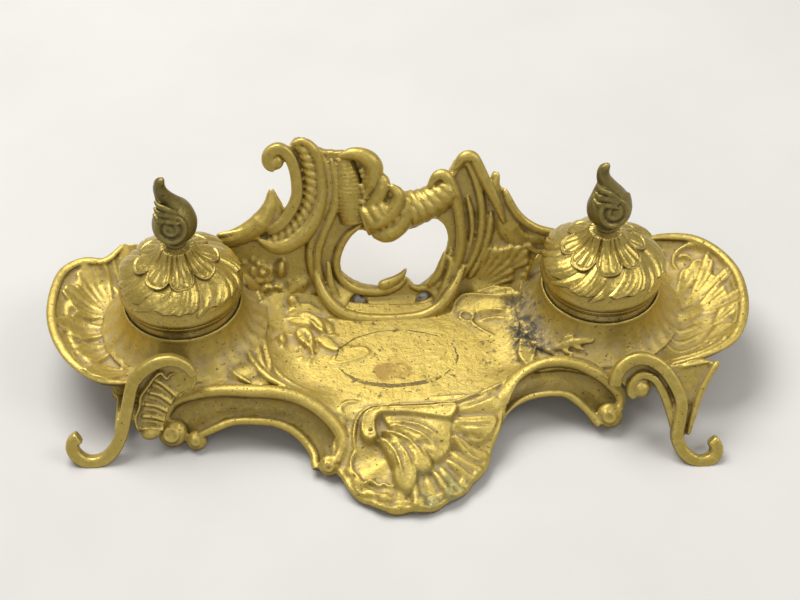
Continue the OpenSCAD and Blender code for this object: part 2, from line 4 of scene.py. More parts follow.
import bpy
import numpy as np
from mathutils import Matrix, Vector


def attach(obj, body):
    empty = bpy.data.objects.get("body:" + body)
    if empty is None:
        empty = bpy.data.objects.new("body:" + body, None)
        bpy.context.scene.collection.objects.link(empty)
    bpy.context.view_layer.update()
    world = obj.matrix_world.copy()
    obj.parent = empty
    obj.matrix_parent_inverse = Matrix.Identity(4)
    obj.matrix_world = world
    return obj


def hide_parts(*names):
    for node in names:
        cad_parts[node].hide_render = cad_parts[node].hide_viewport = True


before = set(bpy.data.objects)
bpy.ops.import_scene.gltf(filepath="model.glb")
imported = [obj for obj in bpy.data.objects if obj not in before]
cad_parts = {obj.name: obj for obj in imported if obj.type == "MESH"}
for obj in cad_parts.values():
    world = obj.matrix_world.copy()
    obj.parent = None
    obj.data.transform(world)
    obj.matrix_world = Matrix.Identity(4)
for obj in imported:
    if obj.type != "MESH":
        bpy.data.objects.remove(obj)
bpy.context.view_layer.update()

MM = 0.001
# stand-ins for nothing in a division, and for farther than everything
TINY, FAR = 1e-9, 1e9

# ---- places and sizes, in millimetres in the row frame ----------------------------------

LEFT_X, RIGHT_X, WELL_Y = -92.8, 87.2, 22.0
MOUTH_Z = 39.0
WELL_UNDER, WELL_FLOOR = 5.0, 8.0
COLLAR_BOTTOM, COLLAR_SEAT_R, BORE_R = 29.0, 24.7, 21.8
HOUSING_R = 26.25
CAST_T = 3.0
CREST_Y, CREST_Z, CREST_LEAN, CREST_T = 37.6, 18.0, 23.0, 4.0
RIVET_X = (-17, 12)
LID_Z, LID_H, LID_WALL = 42.8, 27.0, 2.2
FINIAL_Z = 71.2
# bosses under the tray, in the order left front, right front, left rear, right rear, and the legs' lugs
BOSSES = [(LEFT_X - 26.4, -6), (RIGHT_X + 26.4, -6), (LEFT_X - 26.4, 46), (RIGHT_X + 26.4, 46)]
LUG_Z, LUG_T = 10.0, 4.0
SOLE = 1.7

# steps between two points of a curve, mesh of a casting, and rounds of averaging over its points
CURVE_STEPS = 24
VOXEL = 0.5
FUSE_ROUNDS, FUSE_BACK = 2, 0.6
EDGE_ROUNDS, HOLLOW_ROUNDS = 6, 40

# ---- camera -----------------------------------------------------------------------------

CAMERA_TARGET = (1.2, 35.0, 20.0)
CAMERA_DISTANCE = 797.0
CAMERA_PITCH = 44.5
CAMERA_YAW = 3.1
CAMERA_LENS = 81.0
CAMERA_CLIP = 0.01


def add_camera():
    pitch, yaw = math.radians(CAMERA_PITCH), math.radians(CAMERA_YAW)
    look = Vector((math.sin(yaw) * math.cos(pitch), math.cos(yaw) * math.cos(pitch), -math.sin(pitch)))
    data = bpy.data.cameras.new("camera")
    data.lens = CAMERA_LENS
    data.clip_start = CAMERA_CLIP
    camera = bpy.data.objects.new("camera", data)
    bpy.context.collection.objects.link(camera)
    camera.location = (Vector(CAMERA_TARGET) - look * CAMERA_DISTANCE) * MM
    camera.rotation_euler = look.to_track_quat("-Z", "Y").to_euler()
    bpy.context.scene.camera = camera


add_camera()

# ---- curves and meshes ------------------------------------------------------------------


def smooth_curve(points, count, closed=False, dims=3):
    """Smooth curve through the points, in count even steps along its first dims columns."""
    p = np.array(points, float)
    p = np.vstack([p[-1:], p, p[:2]] if closed else [2 * p[0] - p[1], p, 2 * p[-1] - p[-2]])
    t = np.linspace(0, 1, CURVE_STEPS, endpoint=False)[:, None]
    spans = [
        0.5 * (2 * b + (c - a) * t + (2 * a - 5 * b + 4 * c - d) * t**2 + (3 * b - a - 3 * c + d) * t**3)
        for a, b, c, d in zip(p, p[1:], p[2:], p[3:])
    ]
    fine = np.vstack(spans + [p[-2:-1]])
    run = np.concatenate([[0], np.cumsum(np.linalg.norm(np.diff(fine[:, :dims], axis=0), axis=1))])
    at = np.linspace(0, run[-1], count + 1)[:count] if closed else np.linspace(0, run[-1], count)
    return np.stack([np.interp(at, run, fine[:, k]) for k in range(p.shape[1])], 1)


def step01(a, b, x):
    """Smooth step from 0 at a to 1 at b."""
    t = np.clip((x - a) / (b - a), 0, 1)
    return t * t * (3 - 2 * t)


def unit(v):
    return v / np.maximum(np.linalg.norm(v, axis=-1, keepdims=True), TINY)


def around(n):
    """Angles of n even steps round a full turn."""
    return np.linspace(0, 2 * np.pi, n, endpoint=False)


def round_profile(w, h, n=20, power=1.0):
    """Oval with half sizes w and h; a power below 1 makes it squarer."""
    c, s = np.cos(around(n)), np.sin(around(n))
    return np.stack([w * np.sign(c) * abs(c) ** power, h * np.sign(s) * abs(s) ** power], 1)


def taper(n, start=0.15, stop=0.15, low=0.08):
    """Widths along a stroke that starts and stops slim."""
    t = np.linspace(0, 1, n)
    rise = np.sqrt(np.clip(t / start, 0, 1)) if start else 1
    fall = np.sqrt(np.clip((1 - t) / stop, 0, 1)) if stop else 1
    return low + (1 - low) * rise * fall


class Shape:
    """Closed surfaces in millimetres, gathered into one mesh."""

    def __init__(self):
        self.points, self.quads, self.tris, self.count = [], [], [], 0

    def add(self, points, quads=None, tris=None):
        self.points.append(np.asarray(points, float).reshape(-1, 3))
        for faces, kept in ((quads, self.quads), (tris, self.tris)):
            if faces is not None:
                kept.append(np.asarray(faces) + self.count)
        self.count += len(self.points[-1])
        return self

    def rings(self, grid, loop=False):
        """Surface through rings of points; loop joins the last ring to the first."""
        m, n = grid.shape[:2]
        rows = np.arange(m if loop else m - 1)
        i, j = rows[:, None] * n, (rows[:, None] + 1) % m * n
        k, l = np.arange(n), (np.arange(n) + 1) % n
        quads = np.stack([i + k, i + l, j + l, j + k], -1).reshape(-1, 4)
        points, tris = grid.reshape(-1, 3), None
        if not loop:
            points = np.vstack([points, grid[0].mean(0), grid[-1].mean(0)])
            first, last, end = np.full(n, m * n), np.full(n, m * n + 1), (m - 1) * n
            tris = np.vstack([np.stack([first, l, k], 1), np.stack([last, end + k, end + l], 1)])
        return self.add(points, quads, tris)

    def sweep(self, path, face, profile, scale=1.0):
        """Profile [across, out] carried along a path whose outer side looks along face."""
        path = np.asarray(path, float)
        along = unit(np.gradient(path, axis=0))
        face = np.broadcast_to(np.asarray(face, float), path.shape)
        out = unit(face - (face * along).sum(1)[:, None] * along)
        across = np.cross(along, out)
        profile = np.broadcast_to(profile, (len(path),) + np.shape(profile)[-2:])
        profile = profile * np.broadcast_to(scale, len(path))[:, None, None]
        return self.rings(path[:, None] + profile[..., :1] * across[:, None] + profile[..., 1:] * out[:, None])

    def ball(self, centre, size, face=(0, 0, 1), n=24):
        """Ellipsoid with half sizes size; face turns its third axis."""
        a, b = around(n), np.linspace(-np.pi / 2, np.pi / 2, n // 2 + 2)[1:-1, None]
        x, y, z = np.cos(b) * np.cos(a) * size[0], np.cos(b) * np.sin(a) * size[1], np.sin(b) * np.ones(n) * size[2]
        out = unit(np.asarray(face, float))
        side = unit(np.cross((0, 1, 0), out))
        up = np.cross(out, side)
        return self.rings(np.asarray(centre, float) + x[..., None] * side + y[..., None] * up + z[..., None] * out)

    def turned(self, x, y, profile, n, shift=None):
        """Profile [r, z] turned about a vertical axis, closed at its ends; shift(r, a, z) moves the points."""
        a = around(n)
        r, z = (np.repeat(column[:, None], n, 1) for column in np.array(profile, float).T)
        if shift:
            r, z = shift(r, a[None, :] + 0 * r, z)
        return self.rings(np.stack([x + r * np.cos(a), y + r * np.sin(a), z], -1))

    def slab(self, us, vs, top, bottom, mask, place):
        """Plate over the masked cells of a grid; place(u, v, w) gives its points."""
        m, n = len(us), len(vs)
        u, v = np.meshgrid(us, vs, indexing="ij")
        index = np.arange(m * n).reshape(m, n)
        a, b, c, d = index[:-1, :-1], index[1:, :-1], index[1:, 1:], index[:-1, 1:]
        upper = np.stack([a, b, c, d], -1)[mask]
        faces = [upper, upper[:, ::-1] + m * n]
        pad = np.pad(mask, 1)
        for near, first, second in (
            (pad[1:-1, :-2], a, b), (pad[2:, 1:-1], b, c), (pad[1:-1, 2:], c, d), (pad[:-2, 1:-1], d, a)
        ):
            f, s = first[mask & ~near], second[mask & ~near]
            faces.append(np.stack([s, f, f + m * n, s + m * n], -1))
        points = np.vstack([place(u, v, top).reshape(-1, 3), place(u, v, bottom + 0 * top).reshape(-1, 3)])
        used, quads = np.unique(np.vstack(faces), return_inverse=True)
        return self.add(points[used], quads.reshape(-1, 4))


def to_object(name, shape):
    points = np.vstack(shape.points) * MM
    points[:, 2] = np.maximum(points[:, 2], 0)
    sizes, loops = [], []
    for kept in (shape.quads, shape.tris):
        if kept:
            faces = np.vstack(kept)
            sizes.append(np.full(len(faces), faces.shape[1]))
            loops.append(faces.ravel())
    sizes, loops = np.concatenate(sizes), np.concatenate(loops)
    mesh = bpy.data.meshes.new(name)
    mesh.vertices.add(len(points))
    mesh.vertices.foreach_set("co", points.ravel())
    mesh.loops.add(len(loops))
    mesh.loops.foreach_set("vertex_index", loops)
    mesh.polygons.add(len(sizes))
    mesh.polygons.foreach_set("loop_start", np.concatenate([[0], np.cumsum(sizes)[:-1]]))
    mesh.update(calc_edges=True)
    mesh.validate()
    obj = bpy.data.objects.new(name, mesh)
    bpy.context.collection.objects.link(obj)
    return obj


def read_points(mesh):
    flat = np.empty(len(mesh.vertices) * 3)
    mesh.vertices.foreach_get("co", flat)
    return flat.reshape(-1, 3)


def neighbours(mesh):
    flat = np.empty(len(mesh.edges) * 2, dtype=np.int64)
    mesh.edges.foreach_get("vertices", flat)
    edges = flat.reshape(-1, 2)
    return np.concatenate([edges[:, 0], edges[:, 1]]), np.concatenate([edges[:, 1], edges[:, 0]])


def averaged(points, links, times):
    """Points moved towards the mean of their neighbours, times over."""
    a, b = links
    count = np.maximum(np.bincount(a, minlength=len(points)), 1)[:, None]
    for _ in range(times):
        total = np.stack([np.bincount(a, points[b, k], len(points)) for k in range(3)], 1)
        points = 0.5 * points + 0.5 * total / count
    return points


def fuse(obj):
    """Joins an object's closed surfaces into one casting of even fine mesh, softened without shrinking."""
    mod = obj.modifiers.new("fuse", "REMESH")
    mod.mode = "VOXEL"
    mod.voxel_size = VOXEL * MM
    graph = bpy.context.evaluated_depsgraph_get()
    mesh = bpy.data.meshes.new_from_object(obj.evaluated_get(graph))
    obj.modifiers.clear()
    old, obj.data = obj.data, mesh
    bpy.data.meshes.remove(old)
    links = neighbours(mesh)
    soft = averaged(read_points(mesh), links, FUSE_ROUNDS)
    soft = soft + FUSE_BACK * (soft - averaged(soft, links, FUSE_ROUNDS))
    soft[:, 2] = np.maximum(soft[:, 2], 0)
    mesh.vertices.foreach_set("co", soft.ravel())
    mesh.update()


def mark_wear_and_shade(obj):
    """Writes how far each point stands proud of, or lies below, the surface round it."""
    mesh = obj.data
    mesh.polygons.foreach_set("use_smooth", [True] * len(mesh.polygons))
    points, links = read_points(mesh), neighbours(mesh)
    normal = np.empty(len(mesh.vertices) * 3)
    mesh.vertices.foreach_get("normal", normal)
    close = averaged(points, links, EDGE_ROUNDS)
    for name, soft in (("edge", close), ("hollow", averaged(close, links, HOLLOW_ROUNDS))):
        height = ((points - soft) * normal.reshape(-1, 3)).sum(1) / MM
        layer = mesh.attributes.new(name, "FLOAT", "POINT")
        layer.data.foreach_set("value", height.astype(np.float32))


def nearest(x, y, path, closed=False):
    """Each point's distance from a path, and where along it, from 0 to 1, the path is nearest."""
    best, along = np.full(len(x), FAR), np.zeros(len(x))
    for i, (a, b) in enumerate(zip(path, np.roll(path, -1, 0) if closed else path[1:])):
        d = b - a
        t = np.clip(((x - a[0]) * d[0] + (y - a[1]) * d[1]) / (d @ d + TINY), 0, 1)
        r = np.hypot(x - a[0] - t * d[0], y - a[1] - t * d[1])
        closer = r < best
        best[closer], along[closer] = r[closer], ((i + t) / (len(path) - 1))[closer]
    return best, along


def inside(x, y, outline):
    """Which points lie inside a closed outline."""
    hit = np.zeros(x.shape, bool)
    for (x0, y0), (x1, y1) in zip(outline, np.roll(outline, -1, 0)):
        if y0 != y1:
            hit ^= ((y0 > y) != (y1 > y)) & (x < x0 + (y - y0) * (x1 - x0) / (y1 - y0))
    return hit


def cells_inside(us, vs, outline):
    """Which cells of a grid have their middle inside a closed outline."""
    return inside(*np.meshgrid((us[:-1] + us[1:]) / 2, (vs[:-1] + vs[1:]) / 2, indexing="ij"), outline)


class Relief:
    """Heights to add over a surface, from forms placed by their x and y."""

    def __init__(self, x, y):
        self.x, self.y, self.z = x, y, np.zeros_like(x)

    def near(self, points, reach):
        """Points of the grid in the box round some points, and their x and y."""
        lo, hi = np.min(points, 0) - reach, np.max(points, 0) + reach
        at = np.nonzero((self.x > lo[0]) & (self.x < hi[0]) & (self.y > lo[1]) & (self.y < hi[1]))
        return at, self.x[at], self.y[at]

    def put(self, at, height, mode="max"):
        self.z[at] = self.z[at] + height if mode == "add" else np.maximum(self.z[at], height)

    def soften(self):
        """Rounds the heights off a little over the grid they stand on."""
        for _ in range(2):
            z = self.z
            z[1:-1] = (z[:-2] + 2 * z[1:-1] + z[2:]) / 4
            z[:, 1:-1] = (z[:, :-2] + 2 * z[:, 1:-1] + z[:, 2:]) / 4

    def ridge(self, points, width, height, slim=0.2, tail=0.2, mode="max", power=1.0):
        """Rounded stroke along a path, width and height in mm at its middle."""
        path = smooth_curve(points, max(12, 6 * len(points)), dims=2)
        at, x, y = self.near(path, width)
        best, along = nearest(x, y, path)
        size = np.sqrt(np.clip(along / slim, 0.02, 1)) * np.sqrt(np.clip((1 - along) / tail, 0.02, 1))
        q = np.clip(1 - (best / (width / 2 * size)) ** 2, 0, 1)
        self.put(at, height * size * q**power, mode)

    def bump(self, x, y, a, b, height, turn=0.0, mode="max", power=0.6):
        """Oval boss with half axes a and b, the first turned by turn degrees from x."""
        at, px, py = self.near([(x, y)], max(a, b) * 1.05)
        dx, dy, t = px - x, py - y, math.radians(turn)
        u, v = dx * math.cos(t) + dy * math.sin(t), -dx * math.sin(t) + dy * math.cos(t)
        self.put(at, height * np.clip(1 - (u / a) ** 2 - (v / b) ** 2, 0, 1) ** power, mode)

    def pad(self, outline, height, soft, lip=0.0, base=0.0):
        """Cushion-like form inside a closed outline, rounded over soft mm, its border raised by lip."""
        edge = smooth_curve(outline, 6 * len(outline), closed=True, dims=2)
        at, x, y = self.near(edge, 1)
        far = nearest(x, y, edge, closed=True)[0]
        brow = lip * (1 - np.clip((far - 0.9) / 0.9, -1, 1) ** 2)
        self.put(at, np.where(inside(x, y, edge), base + height * step01(0, soft, far) ** 0.5 + brow, 0))

    def flower(self, x, y, radius, petals, height, turn, core, dip=0.0):
        """Rosette of cupped petals about a raised eye."""
        at, px, py = self.near([(x, y)], radius * 1.05)
        dx, dy = px - x, py - y
        r, t = np.hypot(dx, dy), np.arctan2(dy, dx) - math.radians(turn)
        part = np.abs(np.cos(petals * t / 2))
        wave = 0.92 + 0.08 * np.sin(2 * t + x)
        v = r / (radius * wave * (0.66 + 0.34 * part**0.5))
        cup = height * (0.3 + 0.7 * v**2) * (1 - 0.6 * np.exp(-((part / 0.25) ** 2)))
        self.put(at, cup * (1 - step01(0.9, 1.0, v)))
        self.bump(x, y, core * radius, core * radius, 1.15 * height)
        if dip:
            self.bump(x, y, 0.5 * core * radius, 0.5 * core * radius, -dip, mode="add", power=0.5)

    def leaf(self, points, width, height, teeth=2, vein=0.4):
        """Leaf blade along a path, with a midrib and toothed side lobes."""
        self.ridge(points, width, height, slim=0.25, tail=0.35, power=0.35)
        path = smooth_curve(points, 2 * teeth + 3, dims=2)
        for k in range(teeth):
            a, b = path[2 * k + 1], path[2 * k + 2]
            d = unit(b - a)
            size = width * (0.55 - 0.3 * abs(2 * (k + 1) / (teeth + 1) - 1))
            for side in (-1, 1):
                tip = b + size * (0.55 * d + 0.95 * side * np.array((-d[1], d[0])))
                self.ridge([a, (a + tip) / 2 + 0.1 * d, tip], width * 0.3, height * 0.95, slim=0.1, tail=0.6)
        if vein:
            self.ridge(points, width * 0.22, vein, slim=0.1, tail=0.7, mode="add")

    def fan(self, x, y, radius, start, stop, ribs, height, rib, root):
        """Ribbed shell or leaf lobe spread about a point, between two angles in degrees, with a raised lip."""
        at, px, py = self.near([(x, y)], max(radius) * 1.1)
        u = np.mod(np.degrees(np.arctan2(py - y, px - x)) - start, 360) / (stop - start)
        reaches = smooth_curve([[k / (len(radius) - 1), far] for k, far in enumerate(radius)], 60, dims=2)
        wave = np.abs(np.sin(np.pi * ribs * u)) - 0.6
        v = np.hypot(px - x, py - y) / (np.interp(np.clip(u, 0, 1), *reaches.T) * (1 + 0.05 * wave))
        inner, fade = 0.1, 0.04
        body = root + (1 - root) * step01(inner, 0.95, v)
        lift = height * body + rib * wave * step01(inner, inner + 0.3, v)
        lift = lift * (step01(0, fade, u) * (1 - step01(1 - fade, 1, u)))
        self.put(at, lift * (1 - step01(0.94, 1.03, v)) * step01(inner * 0.4, inner, v))


class Plane:
    """Leaning plane: x across, s up the slope from its foot, out towards the side it faces."""

    def __init__(self, y, z, lean, turn=1):
        t = math.radians(lean)
        self.foot = np.array((0.0, y, z))
        self.up = np.array((0, turn * math.sin(t), math.cos(t)))
        self.out = np.array((0, -turn * math.cos(t), math.sin(t)))

    def at(self, x, s, out=0.0):
        x, s, out = (part[..., None] for part in np.broadcast_arrays(np.asarray(x, float), s, out))
        return self.foot + x * (1, 0, 0) + s * self.up + out * self.out

    def path(self, points, count, out):
        """Smooth path through points [x, s] or [x, s, out] on the plane."""
        return self.at(*smooth_curve([(*p, out)[:3] for p in points], count).T)


CREST = Plane(CREST_Y, CREST_Z, CREST_LEAN)

# ---- tray -------------------------------------------------------------------------------

# Outlines by x, y, z; the lobes run from the side next to the basin, all counter-clockwise.
LEFT_LOBE = [[-58.8, 22, 24], [-60.8, 39, 25], [-70.8, 54, 28], [-86.8, 60, 31], [-104.8, 63, 32],
    [-120.8, 65, 32], [-128.8, 57, 30], [-138.8, 57, 30], [-146.8, 51, 30], [-149.8, 37, 31], [-149.8, 22, 31],
    [-145.8, 7, 31], [-137.8, -6, 30], [-126.8, -13, 27], [-110.8, -13, 24], [-92.8, -16, 22], [-76.8, -18, 22],
    [-62.8, -18, 22], [-55.8, -6, 23], [-57.8, 9, 23]]
RIGHT_LOBE = [[150.2, 20, 31], [149.2, 35, 31], [143.2, 48, 31], [134.2, 56, 31], [122.2, 58, 31],
    [112.2, 56, 32], [99.2, 60, 32], [81.2, 60, 31], [65.2, 54, 28], [55.2, 39, 25], [53.2, 22, 24],
    [52.2, 9, 23], [50.2, -4, 23], [56.2, -12, 23], [67.2, -12, 23], [80.2, -14, 22], [97.2, -16, 23],
    [113.2, -16, 26], [127.2, -14, 29], [140.2, -7, 30], [147.2, 5, 31]]
BASIN = [[58, 20, 24], [54, 30, 25], [43, 37, 24], [28, 35, 21], [12, 34, 19], [-4, 34, 19], [-20, 35, 20],
    [-36, 37, 23], [-50, 38, 25], [-61, 31, 25], [-64, 18, 24], [-62, 2, 24], [-58, -11, 23], [-51, -18, 23],
    [-41, -22, 22], [-32, -27, 19], [-22, -31, 16], [-8, -33, 14], [8, -32, 14], [23, -29, 17], [36, -22, 20],
    [46, -15, 22], [55, -8, 23], [58, 6, 24]]
SHELL = [[25, -22, 19], [8, -22, 18], [-8, -24, 18], [-23, -28, 17], [-29, -35, 13], [-31, -44, 9], [-28, -53, 6],
    [-22, -62, 5], [-12, -69, 4], [0, -71, 4], [12, -69, 4], [23, -62, 5], [31, -53, 6], [36, -43, 10],
    [40, -33, 15], [39, -25, 18]]
# Share of the rim's height at some shares of the way out to it.
LOBE_STEPS = [[0.5, 0.2], [0.72, 0], [0.88, 0.45], [1, 1]]
BASIN_STEPS = [[0, 0], [0.55, 0], [0.75, 0.05], [0.89, 0.45], [1, 1]]
SHELL_STEPS = [[0, 0.1], [0.35, 0.3], [0.7, 0.7], [1, 1]]
LOBE_LOW, BASIN_LOW, SHELL_LOW = 22.0, 18.0, 13.0
BASIN_MIDDLE, SHELL_MIDDLE = (-3, 3), (3, -44)
LEFT_ARCH_TOP = [[-102, -24, 7], [-101, -20, 12], [-97, -17, 16], [-88, -17, 20], [-77, -18, 23], [-65, -20, 24],
    [-52, -21, 23], [-42, -24, 21], [-34, -29, 18], [-28, -35, 13], [-27, -41, 9], [-30, -47, 6]]
LEFT_ARCH_LOW = [[-90, -29, 3.5], [-87, -28.5, 6.5], [-83, -28, 8.5], [-78, -27, 10.5], [-72, -26, 12],
    [-63, -27, 13], [-54, -28, 12], [-47, -31, 10], [-42, -35, 7], [-39, -40, 5.5], [-38.5, -44, 4.5],
    [-38, -47, 4]]
RIGHT_ARCH_TOP = [[38, -33, 13], [41, -25, 18], [47, -17, 22], [56, -12, 24], [65, -11, 25], [74, -12, 24],
    [82, -15, 21], [88, -18, 17], [92, -21, 12], [91, -26, 8]]
RIGHT_ARCH_LOW = [[35, -38, 7], [38, -32, 9], [43, -26, 12], [50, -22, 14], [60, -20, 15], [69, -20, 14],
    [75, -23, 11], [79, -26, 8], [81, -28, 6], [83, -30, 5]]


def rise_over(steps, p):
    """Share of the rim's height that a wall has reached at the share p of the way out to it."""
    return np.interp(p, *smooth_curve(steps, 200, dims=2).T)


def dish(shape, outline, middle, low, steps, relief, n, m, hole_r=0.0, wave=None):
    """Cast wall from round its middle out to its outline, with relief on its upper face."""
    edge = smooth_curve(outline, n, closed=True)
    if wave:
        wave(edge)
    reach = np.linalg.norm(edge[:, :2] - middle, axis=1)
    start = np.maximum(hole_r, 0.4) / reach
    p = start + (1 - start) * np.linspace(0, 1, m)[:, None]
    x, y = (middle[k] + (edge[:, k] - middle[k]) * p for k in (0, 1))
    z = low + (edge[:, 2] - low) * rise_over(steps, p)
    height = Relief(x, y)
    relief(height)
    height.soften()
    top, under = np.stack([x, y, z + height.z], -1), np.stack([x, y, z - CAST_T], -1)
    brim = top[-1:] * 0.5 + under[-1:] * 0.5
    brim[..., :2] += (edge[:, :2] - middle) / reach[:, None] * 0.7
    shape.rings(np.concatenate([top, brim, under[::-3], under[:1]]), loop=bool(hole_r))


def well(shape, x, phase):
    """Housing of a well, with chased flutes that spread down its flare."""
    def shift(r, a, z):
        low = step01(38, 27, z) * step01(23.4, 25, z)
        wave = 0.35 * np.sin(26 * a + 2.2 * np.sin(3 * a + phase)) + 0.3 * np.sin(11 * a + phase)
        return r + np.where(r > COLLAR_SEAT_R + 1, low * wave, 0), z

    flare = [[25.7, MOUTH_Z - 0.4], [26.2, 36], [27.6, 32], [30, 28], [33.5, 25], [36, 23.6]]
    flare = smooth_curve(flare, 40, dims=2)
    inner = [[0.3, WELL_FLOOR], [BORE_R, WELL_FLOOR], [BORE_R, COLLAR_BOTTOM],
        [COLLAR_SEAT_R, COLLAR_BOTTOM], [COLLAR_SEAT_R, MOUTH_Z - 0.1], [24.9, MOUTH_Z]]
    outer = [[25.5, MOUTH_Z], *flare, [34, 20.6], [HOUSING_R + 1, 20], [HOUSING_R, 18],
        [HOUSING_R, WELL_UNDER + 1.5], [HOUSING_R - 1.5, WELL_UNDER], [0.3, WELL_UNDER]]
    shape.turned(x, WELL_Y, inner + outer, 260, shift)


def arch(shape, top, low):
    """Front apron with a rolled upper bead, a deep hollow and a lower ridge."""
    bead, ridge, hollow = 3.3, 1.9, 4.4
    a, b = smooth_curve(top, 150), smooth_curve(low, 150)
    up = unit(a - b)
    out = unit(np.cross(unit(np.gradient(a, axis=0)), up))
    rows = [a + bead * (math.sin(t) * up * 0.9 + math.cos(t) * out) for t in np.radians(np.linspace(150, -70, 14))]
    for t in np.linspace(0.12, 0.88, 12):
        rows.append(a + (b - a) * t + out * (-hollow * np.sin(np.pi * np.clip((t - 0.05) / 0.9, 0, 1)) ** 0.7))
    for t in np.radians(np.linspace(75, -120, 10)):
        rows.append(b + ridge * (math.sin(t) * up + math.cos(t) * out))
    for t in (0.95, 0.7, 0.4, 0.1):
        rows.append(a + (b - a) * t + out * ((-CAST_T - hollow) * 0.8))
    shape.rings(np.stack(rows, 1))


def roll(shape, points, r, out=(0, 0, 1), slim=0.2, tail=0.2, flat=1.0):
    """Round bar along a path through x, y, z points."""
    path = smooth_curve(points, 12 * len(points))
    shape.sweep(path, out, round_profile(r, r * flat), taper(len(path), slim, tail, 0.25))


def bosses(h, x, count, start, step, far, wave, size, turn):
    """Small leaf bosses in an arc round a well."""
    for k in range(count):
        a = math.radians(start + step * k)
        r = far + wave[0] * math.sin(wave[1] * k)
        h.bump(x + r * math.cos(a), WELL_Y + r * math.sin(a), *size, turn * k)


def left_lobe_relief(h):
    """Acanthus that spreads from the well over the bowl, and the bead inside the rim."""
    h.fan(-124, 28, [24, 33, 31, 24, 22], 95, 150, 6, 1.7, 0.7, 0.2)
    h.fan(-125, 29, [23, 25, 20, 16, 18], 138, 192, 4, 2.4, 0.7, 0.2)
    h.fan(-121, 20, [18, 25, 28, 21, 17], 158, 205, 3, 1.8, 0.45, 0.2)
    h.fan(-119, 12, [16, 21, 20, 15], 178, 232, 3, 1.6, 0.5, 0.2)
    h.fan(-113, -4, [16, 21, 22, 17], 168, 222, 3, 2.0, 0.8, 0.3)
    h.ridge([[-123, 62], [-132, 55], [-140, 48], [-143, 38], [-143, 26], [-140, 12], [-134, 1], [-124, -6]],
            3.2, 1.1, power=0.5)
    for points in ([[-134, 51], [-131, 47], [-127, 41]], [[-130, 54], [-127, 50], [-123, 44]],
                   [[-126, 60], [-124, 53], [-122, 47]], [[-136, 13], [-138, 6], [-139, 1], [-136, -2]]):
        h.ridge(points, 1.7, 1.2)
    h.leaf([[-114, 50], [-119, 57], [-122, 66]], 6, 1.6)
    bosses(h, LEFT_X, 9, 155, 13, 33, (3, 2.3), (2.2, 1.4, 1.1), 50)
    for k in range(5):
        h.ridge([[-112 + 3 * k, -8 - k], [-108 + 5 * k, -11 - k], [-100 + 5 * k, -14]], 1.8, 0.9)
    h.leaf([[-70, 46], [-76, 51], [-86, 55]], 6, 1.4)
    h.leaf([[-68, 0], [-66, 12], [-66, 22]], 5, 1.1)
    h.leaf([[-72, -8], [-80, -11], [-90, -12]], 5, 1.2)


def right_lobe_relief(h):
    """Hooked leaf behind, ribbed leaf across the bowl, folded leaves by the rim and small bosses."""
    h.fan(127, 18, [20, 31, 19, 20, 15], -12, 46, 6, 2.0, 0.7, 0.2)
    h.fan(126, 22, [21, 25, 20, 27, 29], 24, 66, 5, 2.6, 0.8, 0.2)
    h.fan(122, 25, [22, 26, 22, 18], 48, 76, 3, 1.8, 0.6, 0.3)
    h.leaf([[120, 12], [127, 17], [134, 22]], 6, 1.8, teeth=0)
    h.fan(129, -1, [13, 16, 14, 11], -20, 50, 2, 2.0, 0.3, 0.3)
    h.fan(135, 8, [8, 12, 11, 9], 10, 66, 3, 1.6, 0.5, 0.3)
    h.ridge([[133, 47], [136, 45], [138, 42], [136, 40], [135, 42]], 1.8, 2.8)
    h.ridge([[127, 50], [130, 50], [133, 48]], 2.2, 1.6)
    h.ridge([[120, 42], [118.5, 48], [121, 54]], 3.4, 2.6)
    h.ridge([[142, 42], [147, 32], [147, 20], [144, 6], [137, -4], [126, -10], [112, -12]], 3, 1.2, power=0.5)
    h.ridge([[127, 44], [124.5, 48], [126.5, 52], [132, 53.5], [138, 51], [143, 46], [146, 38], [147, 28]],
            2.4, 2.0, slim=0.1, tail=0.3)
    for k in range(4):
        h.ridge([[113, 15 - 5 * k], [119, 12 - 6 * k], [126, 14 - 6 * k], [132, 18 - 6 * k]], 1.8, 0.8)
        h.bump(119 + 4.5 * k, -11 + 2.4 * k, 1.9, 0.9, 1.1, 20)
    for k in range(5):
        h.ridge([[100 - 5 * k, -8], [94 - 5 * k, -12], [86 - 6 * k, -12]], 1.8, 0.8)
    bosses(h, RIGHT_X, 8, -60, 17, 34, (2.5, 2.9), (2.0, 1.3, 1.1), 40)
    h.leaf([[66, 46], [74, 52], [86, 55]], 6, 1.4)
    h.leaf([[66, -4], [62, 8], [62, 20]], 5, 1.2)


